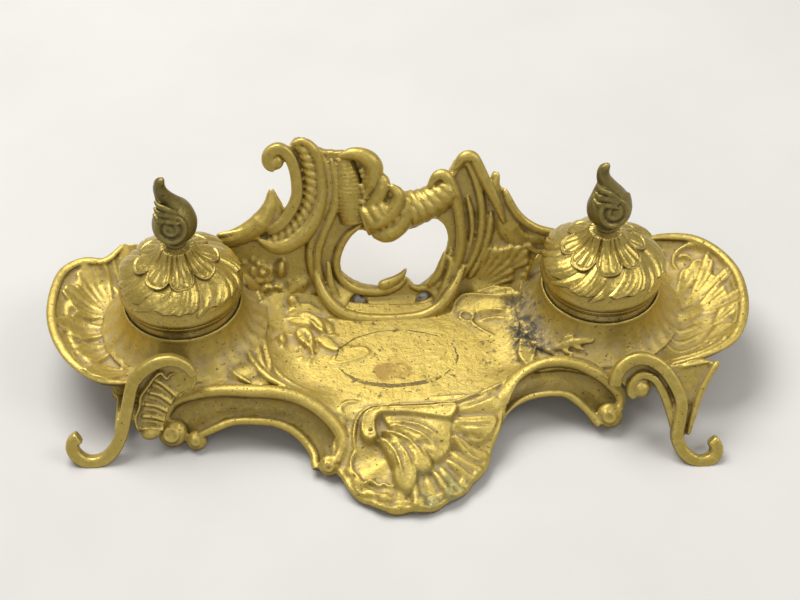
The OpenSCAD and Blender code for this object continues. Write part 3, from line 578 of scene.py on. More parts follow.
def basin_relief(h):
    """Flowers and curls on the left, a gutter round the wall, fan, pen leaf and pods on the right."""
    h.ridge([[-60, 26], [-61, 12], [-59, -3], [-54, -11], [-45, -18]], 2.0, 1.3)
    h.ridge([[-56, 24], [-57, 10], [-54, -4], [-47, -12], [-38, -18]], 1.4, 0.8)
    h.bump(-46, 34, 2.8, 2.7, 3.4, power=0.5)
    h.bump(-51, 14, 2.2, 3.4, 3.0, power=0.5)
    h.leaf([[-49, 29], [-43, 31], [-34, 31]], 6, 1.9, teeth=0)
    h.leaf([[-50, 26], [-42, 26], [-33, 23], [-29, 18]], 7, 2.0)
    for outline, height, soft, lip in (
        ([[-46, 18], [-43, 21], [-39, 20], [-37, 15], [-37, 9], [-38, 4], [-41, 9], [-44, 12]], 2.6, 2.2, 0.9),
        ([[-44, 28], [-40, 30], [-35, 27], [-32, 21], [-33, 16], [-37, 19], [-40, 24]], 2.8, 2.4, 0.9),
        ([[-37, 15], [-32, 16], [-28, 12], [-25, 6], [-30, 6], [-35, 10]], 1.8, 2.2, 0.5),
        ([[-31, 2], [-25, 8], [-16, 9.5], [-13, 5], [-19, 1], [-27, -1]], 0.5, 2.5, 0.35),
    ):
        h.pad(outline, height, soft, lip)
    h.ridge([[-42, 18], [-40, 14], [-39, 8]], 1.2, -0.9, mode="add")
    h.ridge([[-41, 27], [-37, 24], [-34, 19]], 1.2, -0.9, mode="add")
    for x, y, turn in ((-34, 13, -15), (-30, 16, 10), (-60, 24, 40), (-57, 18, 60), (-38, 8, 0), (-30, 26, 0)):
        h.bump(x, y, 3.6, 1.7, 1.0, turn)
    h.bump(-26, 8, 10, 3.4, 0.7, -4, power=1.0)
    for k in range(26):
        h.bump(-48 + 13 * math.sin(2.4 * k), 17 + 16 * math.cos(1.7 * k + 1), 1.4, 1.0, 0.7, 40 * k)
    # the smooth pen leaf with its swirl, and the ribbed fan behind it
    h.leaf([[24, 29], [30, 31], [38, 30], [48, 28]], 10, 1.6, teeth=0, vein=0)
    h.fan(32, 36, [23, 24, 26, 27, 24], -22, 52, 7, 1.9, 0.7, 0.3)
    for points, width, height in (
        ([[24, 27], [25, 31], [29, 34], [36, 34], [46, 32]], 2.2, 2.5),
        ([[33, 23], [30, 22], [27, 24], [28, 27], [31, 27], [33, 25], [32, 21], [36, 16], [42, 12]], 1.5, 1.7),
        ([[33, 27], [40, 27], [48, 25]], 1.4, 2.0), ([[35, 22], [42, 23], [48, 21]], 1.4, 1.2),
        # two thin folds by the arches
        ([[22, -24], [28, -23], [35, -21], [43, -18]], 1.5, 1.1),
        ([[-18, -23], [-24, -23], [-27, -26], [-26, -30]], 1.4, 1.0),
    ):
        h.ridge(points, width, height)
    # pods and grains at the rim
    for k in range(9):
        h.bump(57 + 4 * math.sin(1.7 * k), -3 + 2.6 * k, 1.1, 1.7, 1.6, 25 * math.sin(k))


def shell_relief(h):
    """Volute band, the long-ribbed lobes that sweep from its eye, pleats round the rim and a bead behind."""
    h.ridge([[-22, -44], [-22, -38], [-21, -33], [-18, -29], [-12, -26.5], [4, -26], [14, -26], [21, -26],
             [27, -24], [35, -21], [43, -16]], 1.8, 2.2, slim=0.1, tail=0.05)
    # pleats and lip behind the lobes
    for k, points in enumerate((
        [[-3, -60], [-4, -66], [-4, -71]], [[2, -60], [2, -66], [2, -71]], [[7, -57], [9, -64], [10, -70]],
        [[10, -55], [14, -62], [17, -67]], [[13, -53], [19, -60], [23, -64]], [[16, -50], [23, -56], [28, -60]],
        [[17, -46], [25, -51], [31, -54]], [[18, -42], [26, -46], [34, -48]]
    )):
        h.ridge(points, 4.4, 1.5 + 0.25 * (k % 2), slim=0.3, tail=0.1, power=0.7)
    for k in range(9):
        turn = math.radians(196 + 16 * k)
        h.bump(1 + 26 * math.cos(turn), -46 + 22 * math.sin(turn), 3.4, 1.9, 1.5, 16 * k - 60)
    h.ridge([[-28, -53], [-24, -61], [-19, -66], [-12, -69], [0, -70], [12, -69], [22, -62], [30, -52], [35, -44]],
            2.2, 1.0)
    # grained hollow on the left with a curled lip
    x, y = -16, -50.5
    h.bump(x, y, 7, 7.5, -1.6, mode="add", power=1.0)
    for k in range(34):
        turn, out = 2.4 * k, 1.15 * math.sqrt(k)
        h.bump(x + out * math.cos(turn), y + out * math.sin(turn), 0.9, 0.8, 0.5, 30 * k, mode="add")
    h.ridge([[-21, -43], [-23.6, -47], [-23.4, -51], [-21.5, -55], [-18.8, -58.4], [-16.8, -57.4], [-15, -57.8],
             [-12.6, -60], [-10.6, -59.4], [-8.5, -61], [-6, -60.5]], 1.7, 1.7, slim=0.1)
    h.ridge([[-24, -57], [-20, -62], [-15, -63.2], [-10, -64.5], [-6, -66]], 1.8, 1.2)
    # folded leaf on the right
    for outline, height, soft, lip in (
        ([[21, -27], [30, -24], [40, -20], [44, -18], [42, -25], [38, -31], [30, -31], [20, -31]], 2.2, 4.5, 0.3),
        ([[18, -33], [27, -32], [38, -32], [37, -38], [32, -43], [27, -43], [24, -40], [19, -39]], 2.8, 5, 0.7),
        ([[19, -40], [24, -42], [28, -46], [31, -50], [26, -50], [20, -45]], 2.4, 2.2, 0.5),
    ):
        h.pad(outline, height, soft, lip)
    for points in ([[22, -29], [32, -26], [42, -20]], [[21, -36], [29, -37], [36, -36]],
                   [[20, -38], [27, -41], [32, -42]], [[21, -42], [26, -46], [29, -49]]):
        h.ridge(points, 2.4, -1.0, mode="add", power=1.5)
    # lobes, each over the one behind it
    for outline, height, soft, lip in (
        ([[-10, -31], [-2, -30], [8, -30], [18, -32], [19, -40], [18, -46], [15, -50], [11, -52], [6, -48],
          [0, -43], [-6, -39]], 2.8, 3, 0.8),
        ([[-11, -37], [-3, -39], [4, -43], [9, -49], [10, -55], [6, -58], [3, -56], [0, -50], [-6, -43]],
         3.4, 2.6, 0.7),
        ([[-12, -41], [-6, -42], [0, -47], [3, -53], [4, -58], [2, -63], [-1, -65], [-5, -63], [-7, -58], [-7, -53],
          [-10, -47]], 3.8, 2.6, 0.9),
    ):
        h.pad(outline, height, soft, lip)
    for points in ([[-9, -35], [-2, -35], [6, -37], [14, -43]], [[-9, -36.5], [-2, -37], [6, -41], [13, -48]],
                   [[-9, -38], [-3, -41], [3, -46], [7, -54]], [[-9, -40], [-4, -44], [-1, -49], [1, -57]],
                   [[-10, -42], [-6, -47], [-4, -53], [-3, -60]]):
        h.ridge(points, 1.5, 0.9, slim=0.3, tail=0.3, mode="add")
        h.ridge([[x + 1.3, y + 1.0] for x, y in points], 1.4, -0.7, slim=0.3, tail=0.3, mode="add")
    # the volute's flat band and its eye
    h.pad([[-12, -41], [-15, -43], [-18.5, -41], [-19.5, -36], [-18, -31], [-13, -28.5], [-6, -28], [4, -28],
           [13, -28], [21, -28], [22, -31], [18, -35.5], [10, -34], [3, -32.5], [-6, -32], [-11, -32.5],
           [-12.5, -36]], 3.6, 1.0, lip=0.4, base=0.8)
    h.bump(-15, -39, 3.1, 3.1, 5.2, power=0.4)
    h.bump(-15, -38.6, 0.9, 0.9, -2.0, mode="add", power=0.5)


def scallop(edge):
    """Gives the shell's edge its scalloped lip."""
    turn = np.arctan2(edge[:, 1] - SHELL_MIDDLE[1], edge[:, 0] - SHELL_MIDDLE[0])
    low = step01(-20, -40, edge[:, 1])
    edge[:, 2] += low * 0.8 * np.sin(11 * turn)
    edge[:, :2] += unit(edge[:, :2] - SHELL_MIDDLE) * (low * (0.9 * np.abs(np.sin(5.5 * turn)) - 0.7))[:, None]


def tray_shape():
    shape = Shape()
    dish(shape, LEFT_LOBE, (LEFT_X, WELL_Y), LOBE_LOW, LOBE_STEPS, left_lobe_relief, 700, 100, hole_r=25.4)
    dish(shape, RIGHT_LOBE, (RIGHT_X, WELL_Y), LOBE_LOW, LOBE_STEPS, right_lobe_relief, 700, 100, hole_r=25.4)
    dish(shape, BASIN, BASIN_MIDDLE, BASIN_LOW, BASIN_STEPS, basin_relief, 860, 150)
    dish(shape, SHELL, SHELL_MIDDLE, SHELL_LOW, SHELL_STEPS, shell_relief, 700, 130, wave=scallop)
    well(shape, LEFT_X, 0.4)
    well(shape, RIGHT_X, 2.1)
    arch(shape, LEFT_ARCH_TOP, LEFT_ARCH_LOW)
    arch(shape, RIGHT_ARCH_TOP, RIGHT_ARCH_LOW)
    roll(shape, LEFT_LOBE[5:15], 2.1, slim=0.15, tail=0.3, flat=0.6)
    roll(shape, RIGHT_LOBE[17:] + RIGHT_LOBE[:6], 2.1, slim=0.3, tail=0.12, flat=0.7)
    # flowing beads beside the left housing, and a leaf that climbs the right one
    roll(shape, [[-80, 10, 24.6], [-77, 0.5, 23.6], [-71, -9, 23.2], [-64, -15, 23.2]], 1.3, slim=0.4, tail=0.3)
    roll(shape, [[-69, 26, 25], [-68, 12, 24.2], [-64, -1.5, 23.6], [-57, -12, 23.2], [-49, -18, 23.4]], 1.7,
         slim=0.3)
    roll(shape, [[55, 3, 24], [61, -1.5, 23.8], [67, -6, 23.4]], 1.4, slim=0.3, tail=0.4)
    for points, r in (([[64, -3.5, 25], [70, -4.2, 28.2], [75, -4.8, 30.6], [81, -6, 31.6]], 1.9),
                      ([[68, -4, 27], [69.5, -6.5, 26.6], [73, -8.5, 26.6]], 1.0),
                      ([[72, -4.4, 29.4], [74, -6.6, 28.8], [77.5, -8, 28.6]], 1.0),
                      ([[68, -3, 28.2], [70, -2.4, 30.4], [73, -2.6, 32]], 1.0)):
        roll(shape, points, r, (-0.2, -0.7, 0.7), slim=0.3, tail=0.5, flat=0.6)
    # fillings where dishes, housings and arches meet
    for centre, size in (((-67.5, -7, 22.1), (7.5, 5.6, 2.4)), ((-57.6, -11.6, 20.6), (4.4, 3.6, 3)),
                         ((-28, -31, 13.5), (3.4, 3.0, 3.4)), ((37.4, -21, 16.5), (3.4, 3.0, 3.4))):
        shape.ball(centre, size)
    # knobs at the arches' feet, each with an eye
    front = unit(np.array((-0.1, -1.0, 0.75)))
    for x, y, z, r, eye in ((-98, -26, 6.5, 6.2, 3.2), (-88, -29, 4.6, 4.4, 1.8), (-32.5, -47, 5.8, 4.6, 2.0),
                            (87, -27, 7.5, 5.6, 2.6)):
        shape.ball((x, y, z), (r, r, 0.62 * r), front)
        ring_bar(shape, np.array((x, y, z)) + front * 0.55 * r, front, eye, 0.8, 0.9, 60, 120, 520, -0.14)
    # ledge and upstand that carry the crest, and the legs' bosses
    for top, near, far in ((-4, -7.5, 4), (4, -7.5, -4)):
        section = ((-10, near), (top, near), (top, far), (-10, far))
        shape.add([CREST.at(x, s, w) for x in (-30, 24) for s, w in section],
                  [[0, 1, 2, 3], [4, 7, 6, 5], [0, 4, 5, 1], [1, 5, 6, 2], [2, 6, 7, 3], [3, 7, 4, 0]])
    for x, y in BOSSES:
        shape.turned(x, y, [[0.3, 14], [4.6, 14], [5, 14.5], [5, 21], [0.3, 21]], 40)
    return shape

# ---- crest ------------------------------------------------------------------------------

CREST_EDGE = [[-20, -7], [22, -7], [30, -3], [38, 0], [46, 0], [55, 2], [59, 11], [63, 19], [69, 20], [74, 24],
    [70, 28], [63, 30], [57, 35], [51, 42], [47, 49], [44, 57], [41, 53], [38, 60], [33, 65], [27, 63], [23, 57],
    [18, 57], [14, 51], [8, 48], [2, 49], [-3, 54], [-8, 57], [-10, 64], [-16, 68], [-24, 69], [-31, 70],
    [-36, 74], [-42, 75], [-45, 70], [-43, 64], [-42, 56], [-43, 48], [-47, 42], [-54, 37], [-54, 52], [-57, 46],
    [-61, 38], [-68, 34], [-78, 32], [-81, 28], [-74, 26], [-71, 22], [-67, 13], [-63, 4], [-54, -1], [-40, -1],
    [-30, -3]]
CREST_OPENING = [[-17, 33], [-23, 27], [-26, 19], [-23, 12], [-15, 7], [-6, 6], [1, 9], [5, 9], [9, 5], [15, 9],
    [20, 16], [23, 25], [22, 33], [17, 37], [8, 33], [-5, 31]]


def rope_profile(n, r, pitch, length):
    """Sections of a two-strand rope along a path of n points."""
    a, s = around(28), np.linspace(0, length, n)[:, None]
    rad = r * (0.84 + 0.32 * np.abs(np.sin(a - np.pi * s / pitch)) ** 0.7)
    return np.stack([rad * np.cos(a), rad * np.sin(a)], -1)


def ribbed_profile(n, radii, count, depth, skew, flat=1.0, side=0.0):
    """Round sections ringed with count ribs along a path of n points."""
    a, t = around(40), np.linspace(0, 1, n)[:, None]
    wave = np.abs(np.sin(np.pi * (count * t + skew * np.cos(a + side)))) ** 0.75
    rad = np.interp(t, np.linspace(0, 1, len(radii)), radii) * (1 + depth * (wave - 0.7))
    return np.stack([rad * np.cos(a), flat * rad * np.sin(a)], -1)


def crest_shape():
    shape = Shape()
    us, vs = np.arange(-84, 78, 0.4), np.arange(-9, 78, 0.4)
    face = Relief(*np.meshgrid(us, vs, indexing="ij"))
    crest_relief(face)
    mask = cells_inside(us, vs, smooth_curve(CREST_EDGE, 500, closed=True, dims=2))
    mask &= ~cells_inside(us, vs, smooth_curve(CREST_OPENING, 300, closed=True, dims=2))
    shape.slab(us, vs, face.z, -CREST_T, mask, CREST.at)

    def stroke(points, r, out=0.5, flat=1.0, slim=0.15, tail=0.15, low=0.35, power=1.0, n=None, radii=(1, 1)):
        path = CREST.path(points, n or 10 * len(points), out)
        size = taper(len(path), slim, tail, low)
        size = size * np.interp(np.linspace(0, 1, len(path)), np.linspace(0, 1, len(radii)), radii)
        shape.sweep(path, CREST.out, round_profile(r, r * flat, power=power), size)

    # left S-scroll: flat band with its curl, rope in its channel, broad bead, outer beads
    stroke([[-51.2, 64.2], [-53.4, 65], [-54.4, 67.6], [-53, 70.5], [-49.5, 72], [-46, 70], [-43.5, 65],
            [-42.3, 58], [-42.6, 50], [-46, 43], [-50, 38], [-56, 34]], 2.5, 1.6, slim=0, tail=0.1, power=0.45,
           n=130)
    shape.ball(CREST.at(-51.2, 66.0, 1.6), (3.9, 3.6, 2.4), CREST.out)
    rope = [[-42, 73], [-38.5, 70.5], [-36.3, 62], [-36, 52], [-39.5, 42], [-46, 34.4], [-56, 29]]
    rope = CREST.path(rope, 170, 0.9)
    shape.sweep(rope, CREST.out, rope_profile(170, 2.7, 3.9, 58), taper(170, 0.1, 0.08, 0.5))
    stroke([[-43.5, 74], [-39, 75], [-35, 72], [-32.3, 66], [-31.5, 58], [-31.6, 50], [-34.5, 41], [-39.5, 34],
            [-46, 29], [-53, 27.6], [-60, 31]], 2.1, 2.2, 0.9, n=150, radii=[0.9, 1, 1, 1.1, 1.5, 1.9, 1.8, 1.3])
    stroke([[-31, 69], [-28.4, 61], [-28.2, 52], [-30.4, 43], [-34, 35], [-37.5, 27], [-37.6, 18], [-35, 9],
            [-31, 2]], 1.6, 1.2, n=130)
    stroke([[-27, 67], [-25.2, 55], [-26.6, 44], [-31, 34], [-34.2, 25], [-34.4, 15], [-31, 5.5], [-24.5, -0.4],
            [-15, -3], [-1, -4], [12, -2], [19, 2.4], [23.4, 9], [25.2, 15]], 1.9, 1.8, 0.9, n=200)
    # the ring's lower band and bead, which sweep forward over the back of the basin
    stroke([[-36, 20, 1], [-34.5, 11, 3.5], [-31, 3.5, 6], [-25, -2, 8], [-18, -4.6, 9], [-8, -5.6, 9.5],
            [2, -5.6, 9.5], [11, -4.6, 9], [19, -0.6, 8], [25, 7, 6], [30, 16, 2]], 2.6, n=200,
           radii=[0.6, 1, 1.1, 1, 1, 1, 0.7])
    stroke([[-30, 20, 2], [-29, 10, 3.2], [-26, 2, 3.8], [-19, -4, 3.8], [-4, -4.8, 4.2], [7, -4.4, 4.2],
            [16, -2, 4], [21.5, 8, 3.6], [24, 17, 2.6], [22.5, 20.8, 1.6]], 1.7, n=200)
    # rim of the opening
    stroke([[-14.5, 36], [-21, 31], [-25, 24], [-26.3, 17], [-24, 10.4], [-18, 5.6], [-8, 4], [0, 6], [4.6, 10.4]],
           1.7, 0.4, n=120, radii=[1, 1, 1.1, 1.2, 1, 0.8])
    stroke([[6, 6.5], [11, 5], [17, 8], [22, 15], [24.6, 23]], 1.5, 0.3)
    stroke([[-8, 6.5], [-2, 8.6], [2.4, 11.6], [4.4, 14.6]], 2.4, 0.2, low=0.5, radii=[1, 1, 0.7, 0.35])
    stroke([[14, 6.4], [18, 11.5], [20.4, 17.5], [21.4, 22.5]], 2.0, 1.6, low=0.5, radii=[0.8, 1, 0.9, 0.4])
    # ribbed column with its curls, and the shell horn across the opening
    column = CREST.path([[-18, 37], [-19.5, 46], [-20, 56], [-21.5, 66.5]], 150, 0.2)
    shape.sweep(column, CREST.out, ribbed_profile(150, [5.4, 5.8, 6.2, 5.2, 3.2], 17, 0.1, 0.35, 0.8))
    stroke([[-24, 68], [-17, 69], [-11, 66.4], [-8.6, 62], [-10, 56], [-12.4, 50]], 3.4, 3.2, n=90,
           radii=[0.5, 0.8, 1.1, 1.2, 0.9, 0.4])
    stroke([[-6, 60], [-5.2, 54], [-8.2, 48], [-12.6, 44.6]], 3.3, 3.4, n=60, radii=[0.7, 1.1, 1, 0.5])
    horn = CREST.path([[-14, 38], [-6, 40.5], [3, 41.5], [12, 43.5], [19, 47], [25, 51.5]], 200, 0)
    shape.sweep(horn, CREST.out, ribbed_profile(200, [7.4, 9.2, 8.6, 7.6, 6.8, 5.8], 11, 0.11, 0.5, side=2.4))
    stroke([[-2, 55.5], [1.6, 50], [-1.5, 43], [-7.5, 38.4], [-13, 37]], 3.3, 6.2, n=80,
           radii=[0.6, 0.9, 1.1, 1, 0.5])
    stroke([[3.2, 51.5], [5.4, 45], [2.4, 37.4], [-3.6, 33], [-10.5, 32.6]], 3.6, 5, n=80,
           radii=[0.5, 0.9, 1.15, 1.2, 0.7])
    for k in range(12):
        shape.ball(CREST.at(-13.4 + 0.8 * math.sin(2.1 * k), 66 - 2.35 * k, 3.2), (1.5, 1.3, 1.3), CREST.out, 12)
    # right-hand streams
    stroke([[14.5, 52], [18.5, 57.4], [22.6, 56.6], [25.8, 49], [27.8, 40], [28.8, 30], [27.6, 20], [23, 10.4],
            [15, 4.6]], 2.3, 1.9, n=150, radii=[0.9, 1.2, 1.3, 1, 1, 1, 1, 0.7])
    stroke([[24, 54], [28, 61.6], [31.6, 63], [35, 56], [37.4, 46], [38, 36], [36, 24], [30, 12], [22, 3]],
           1.7, 1.2, n=150, radii=[0.8, 1.1, 1.1, 1, 1, 1, 0.8, 0.6])
    stroke([[25.6, 60], [29.6, 65.2], [34, 65.4], [37.4, 59], [40.6, 52], [44.4, 44], [47.6, 35]], 2.3, 2.4, n=120,
           radii=[0.8, 1.1, 1.1, 1, 0.9, 0.6])
    stroke([[31.6, 47], [33.4, 38], [33.2, 28], [30, 18], [24, 9]], 1.2, 0.6)
    stroke([[42, 40], [41, 30], [37, 18], [32, 9]], 1.6, 0.6)
    # leaf tips and connecting scrolls
    stroke([[43.5, 44], [43.6, 51], [45.2, 57.2]], 2.6, -1, low=0.4, radii=[1.2, 1, 0.45])
    stroke([[61, 26], [54.5, 27], [50.4, 31], [48.2, 37], [47.2, 44], [47.4, 50.4]], 4.2, -0.5, 0.55, low=0.6,
           radii=[0.5, 1.1, 1.3, 1.0, 0.7, 0.15])
    stroke([[47.8, 50], [50.6, 43], [55, 36.6], [61, 32], [67, 29.8], [73, 29]], 1.9, 1.2, n=90)
    stroke([[47, 27], [53, 27], [60, 26.4], [70, 25.5]], 3.4, -1.6, 0.8)
    stroke([[48, 21.5], [51, 18.8], [54, 21.6], [58, 23.4], [62, 20.6], [68, 20.4], [72, 22.4]], 1.3, 0.8)
    stroke([[-53.6, 53], [-54.2, 46], [-58, 39], [-64, 34.4], [-71, 31.6], [-79, 30]], 4.3, -0.4, low=0.6, n=110,
           radii=[0.15, 0.75, 1.1, 1, 0.85, 0.6])
    stroke([[-52.6, 54], [-52.2, 49], [-51.8, 44], [-54.6, 38.5], [-61, 34.5]], 4.0, -0.3, 0.5, low=0.6,
           radii=[0.12, 0.6, 1.05, 1.2, 0.9])
    stroke([[-56, 44], [-60, 38.4], [-68, 34.9], [-78, 33.6]], 1.4, 1.4)
    stroke([[-60, 31.2], [-62.4, 33.6], [-61, 37]], 2, 0.6)
    return shape


def crest_relief(h):
    """Channels between the scrolls, a cove down into the tray, bouquet and fan, and flats for the rivets."""
    for points, width in (([[-40, 66], [-39, 58], [-39.5, 48], [-44, 39]], 2),
                          ([[-33.6, 66], [-33.4, 50], [-38, 38], [-47, 31]], 2),
                          ([[36, 52], [41, 40], [43, 28]], 2.2), ([[30, 58], [33, 50], [35.5, 40], [35, 28]], 2.4)):
        h.ridge(points, width, -1.2, mode="add")
    for lo, hi in ((-66, -36), (34, 60)):
        across = step01(lo - 4, lo + 2, h.x) * step01(hi + 3, hi - 3, h.x)
        h.z += across * 4.5 * np.exp(-np.clip(h.y - 1, 0, 60) / 4.0)
    across = step01(-35, -29, h.x) * step01(30, 24, h.x)
    low = np.maximum(step01(2, -6, h.y), step01(10, 24, np.abs(h.x + 3)) * step01(12, -2, h.y))
    h.z = np.maximum(h.z, 7 * across * low)
    # bouquet: serrated leaves, two flowers, a hanging bud and small buds
    h.leaf([[-70, 14], [-64, 10], [-60, 6]], 6, 1.6)
    h.leaf([[-66, 2], [-61, 0], [-57, 2]], 5, 1.6)
    h.leaf([[-49, 4], [-44, 8], [-38, 11]], 7, 2.4, teeth=3)
    h.leaf([[-48, 0], [-42, -1], [-37, 1]], 5, 2.0)
    h.flower(-59, 15, 6, 5, 2.4, 28, 0.34)
    h.flower(-54, 4, 7.5, 6, 3.2, 10, 0.26, dip=1.0)
    h.bump(-50.6, 17, 2.3, 4.6, 3.8, -4, power=0.5)
    h.bump(-36, 13.5, 1.9, 2.6, 2.6, 20)
    for k in range(9):
        h.bump(-67 + 3.9 * k, 20 - 1.6 * k + 3 * math.sin(2 * k), 1.5, 1.0, 1.1, 50 * k)
    # right-hand fan and the leaf over it
    h.fan(34, 3, [15, 19, 22, 23, 21], 0, 78, 7, 2.0, 0.8, 0.25)
    h.fan(46, 10, [13, 17, 15, 12], 20, 96, 5, 2.6, 0.6, 0.3)
    for k in range(4):
        h.bump(55 + 1.6 * k, 6 + 3.2 * k, 1.8, 1.2, 1.5, 25 * k)
    h.soften()
    for x in RIVET_X:
        away = np.hypot(h.x - x, h.y)
        h.z = np.where(away < 5, np.minimum(h.z, 6 * step01(3.6, 5, away) - 0.1), h.z)

# ---- legs -------------------------------------------------------------------------------

# Straps and panels by x and height, from the middle of the leg's well and the floor.
LEFT_SCROLL = [[-43, 12], [-47, 9], [-46, 4], [-41, 0], [-34, 1], [-29, 6], [-26, 12], [-24, 19], [-22, 27],
    [-20, 34], [-16, 39], [-10, 43], [-3, 44], [3, 41], [6, 36]]
RIGHT_SCROLL = [[0, 33], [1, 39], [6, 44], [13, 45], [20, 41], [25, 34], [28, 26], [27, 18], [26, 11], [29, 4],
    [35, 0], [41, 1], [43, 6], [40, 10]]
REAR_SCROLL = [[23, 14], [25.5, 11.5], [27.5, 8], [30.5, 3.5], [35, 0], [41, 1], [43, 6], [40, 10]]
LEFT_PANEL = [[-22, 32], [-18, 39], [-11, 43], [-3, 44], [4, 40], [6, 34], [-1, 30], [-5, 25], [-8, 18], [-9, 13],
    [-15, 10], [-19, 14], [-21, 21]]
RIGHT_PANEL = [[1, 38], [5, 44], [12, 47], [20, 44], [27, 43], [35, 45], [42, 43], [39, 38], [35, 31], [32, 22],
    [30, 13], [26, 11], [24, 19], [22, 27], [19, 34], [16, 34], [14, 30], [10, 29.5], [7, 32], [4, 36]]
RIGHT_STROKES = (
    ([[8.5, 29.5], [7, 33], [8, 37], [12, 39.5], [17, 37.5], [20.5, 32], [23, 25], [25, 17], [26, 9]], 1.9),
    ([[44, 44], [40, 38], [36, 30], [33, 21], [31, 13]], 1.5),
)


def softened(path):
    """Path with its corners rounded off and its ends kept."""
    span = 9
    for _ in range(2):
        wide = np.vstack([np.repeat(path[:1], span // 2, 0), path, np.repeat(path[-1:], span // 2, 0)])
        path = np.stack([np.convolve(wide[:, k], np.ones(span) / span, "valid") for k in range(3)], 1)
    return path


def leg_shape(x, foot_y, lean, path, boss, front=1, stop=0.02, panel=None, relief=None, strokes=()):
    """Scrolled strap of a leg with its lug, and the chased panel that fills its bend."""
    shape = Shape()
    plane = Plane(foot_y, 0.0, lean, front)
    side = softened(plane.path([(x + u, v + SOLE) for u, v in path], 16 * len(path), -2.8))
    shape.sweep(side, plane.out, round_profile(2.7, 3.1, 32, 0.5), taper(len(side), 0.01, stop, 0.55))
    if panel:
        us, vs = np.arange(-24, 46, 0.4), np.arange(6, 50, 0.4)
        face = Relief(*np.meshgrid(us, vs, indexing="ij"))
        relief(face)
        mask = cells_inside(us, vs, smooth_curve(panel, 300, closed=True, dims=2))
        shape.slab(us, vs, face.z - 4.5, -7.5, mask, lambda a, b, o: plane.at(x + a, b, o))
    for points, r in strokes:
        stroke = plane.path([(x + u, v) for u, v in points], 14 * len(points), -4.0)
        shape.sweep(stroke, plane.out, round_profile(r, 2.2, power=0.7), taper(len(stroke), 0.06, 0.25, 0.4))
    mid, top = LUG_Z + LUG_T / 2, LUG_Z + LUG_T
    near = foot_y + (mid * math.tan(math.radians(lean)) + 3) * front
    bar = np.array([(boss[0], y, mid) for y in (near, (near + boss[1]) / 2, boss[1])])
    shape.sweep(bar, (0, 0, 1), round_profile(2.5, 2, power=0.5))
    shape.turned(*boss, [[0.3, LUG_Z], [4.6, LUG_Z], [5, LUG_Z + 0.4], [5, top], [0.3, top]], 40)
    return shape


def left_panel_relief(h):
    """Rocaille: a waved lip down the strap's side, curved ribs and a knob under them."""
    h.ridge([[-19, 14], [-20, 20], [-18, 25], [-17, 30], [-14, 34], [-11, 38], [-8, 40], [-6, 37], [-4, 39],
             [0, 39]], 2.2, 2.6, slim=0.05, tail=0.3)
    for k in np.arange(0, 4.5, 0.5):
        start, end, size = (-8, -18.3, (2.3, 2.0, 0.1, 0.1)) if k % 1 == 0 else (-8.5, -17.5, (1.1, 1.0))
        h.ridge([[start + 1.6 * k, 14.5 + 3.5 * k], [-13.8 + 1.5 * k, 15.7 + 4.8 * k],
                 [end + 0.45 * k**2, 15.7 + 5.3 * k]], *size)
    h.bump(-14, 13, 4.6, 3.0, 3.2, 10)
    h.ridge([[-19, 15], [-14, 16], [-9, 15]], 1.4, 2.8)


def right_panel_relief(h):
    """Disc in the inner band's curl, and a fine line down the web beside the strap."""
    h.bump(11.5, 33.5, 3.8, 3.8, 3.6, power=0.45)
    h.ridge([[28, 42], [34, 43], [41, 44]], 1.6, 1.0)
    h.ridge([[26, 39], [30, 31], [31, 22]], 1.3, 0.9)

# ---- lids and finials -------------------------------------------------------------------

DOME = [[25, 0], [26.2, 3], [26.8, 6.3], [25.8, 10.5], [22.2, 14.3], [16.6, 17.8], [10.8, 21], [7.8, 24],
    [6.2, 27]]
# Radius, sideways lean, lean to the back and height.
FLAME = [[4.4, 0, 0, 0], [3.6, 0, 0, 1.6], [5.4, 0, 0, 3.2], [8.6, 0.2, 0, 7], [9.4, 0.4, 0, 11],
    [8.8, 0.6, 0, 14.5], [7.2, 0.5, 0.3, 18], [5.2, -0.6, 0.5, 21.5], [3.9, -2.2, 0.5, 25],
    [3.0, -3.6, 0.2, 28.5], [2.5, -4.0, 0, 31.6], [2.1, -3.5, -0.4, 34.2], [0.9, -2.6, -0.8, 35.8]]


def lid_shape(x, turn, swirl):
    """Domed lid: smooth cove, swirling gadroons and four double-lobed petals round the neck."""
    outer, a = smooth_curve(DOME, 170, dims=2), around(760)
    slope = unit(np.gradient(outer, axis=0))
    r, z = outer[:, :1] + 0 * a, outer[:, 1:] + 0 * a
    lift = lid_relief(r, a[None] + turn, z, swirl)
    core = [[1.7, LID_H], [1.7, LID_H - 3.5]] + [[r - LID_WALL, z] for r, z in DOME[-3::-1]]
    core = np.array(core)[..., None] + 0 * a
    r, z = np.vstack([r + lift * slope[:, 1:], core[:, 0]]), np.vstack([z - lift * slope[:, :1], core[:, 1]])
    return Shape().rings(np.stack([x + r * np.cos(a), WELL_Y + r * np.sin(a), LID_Z + z], -1), loop=True)


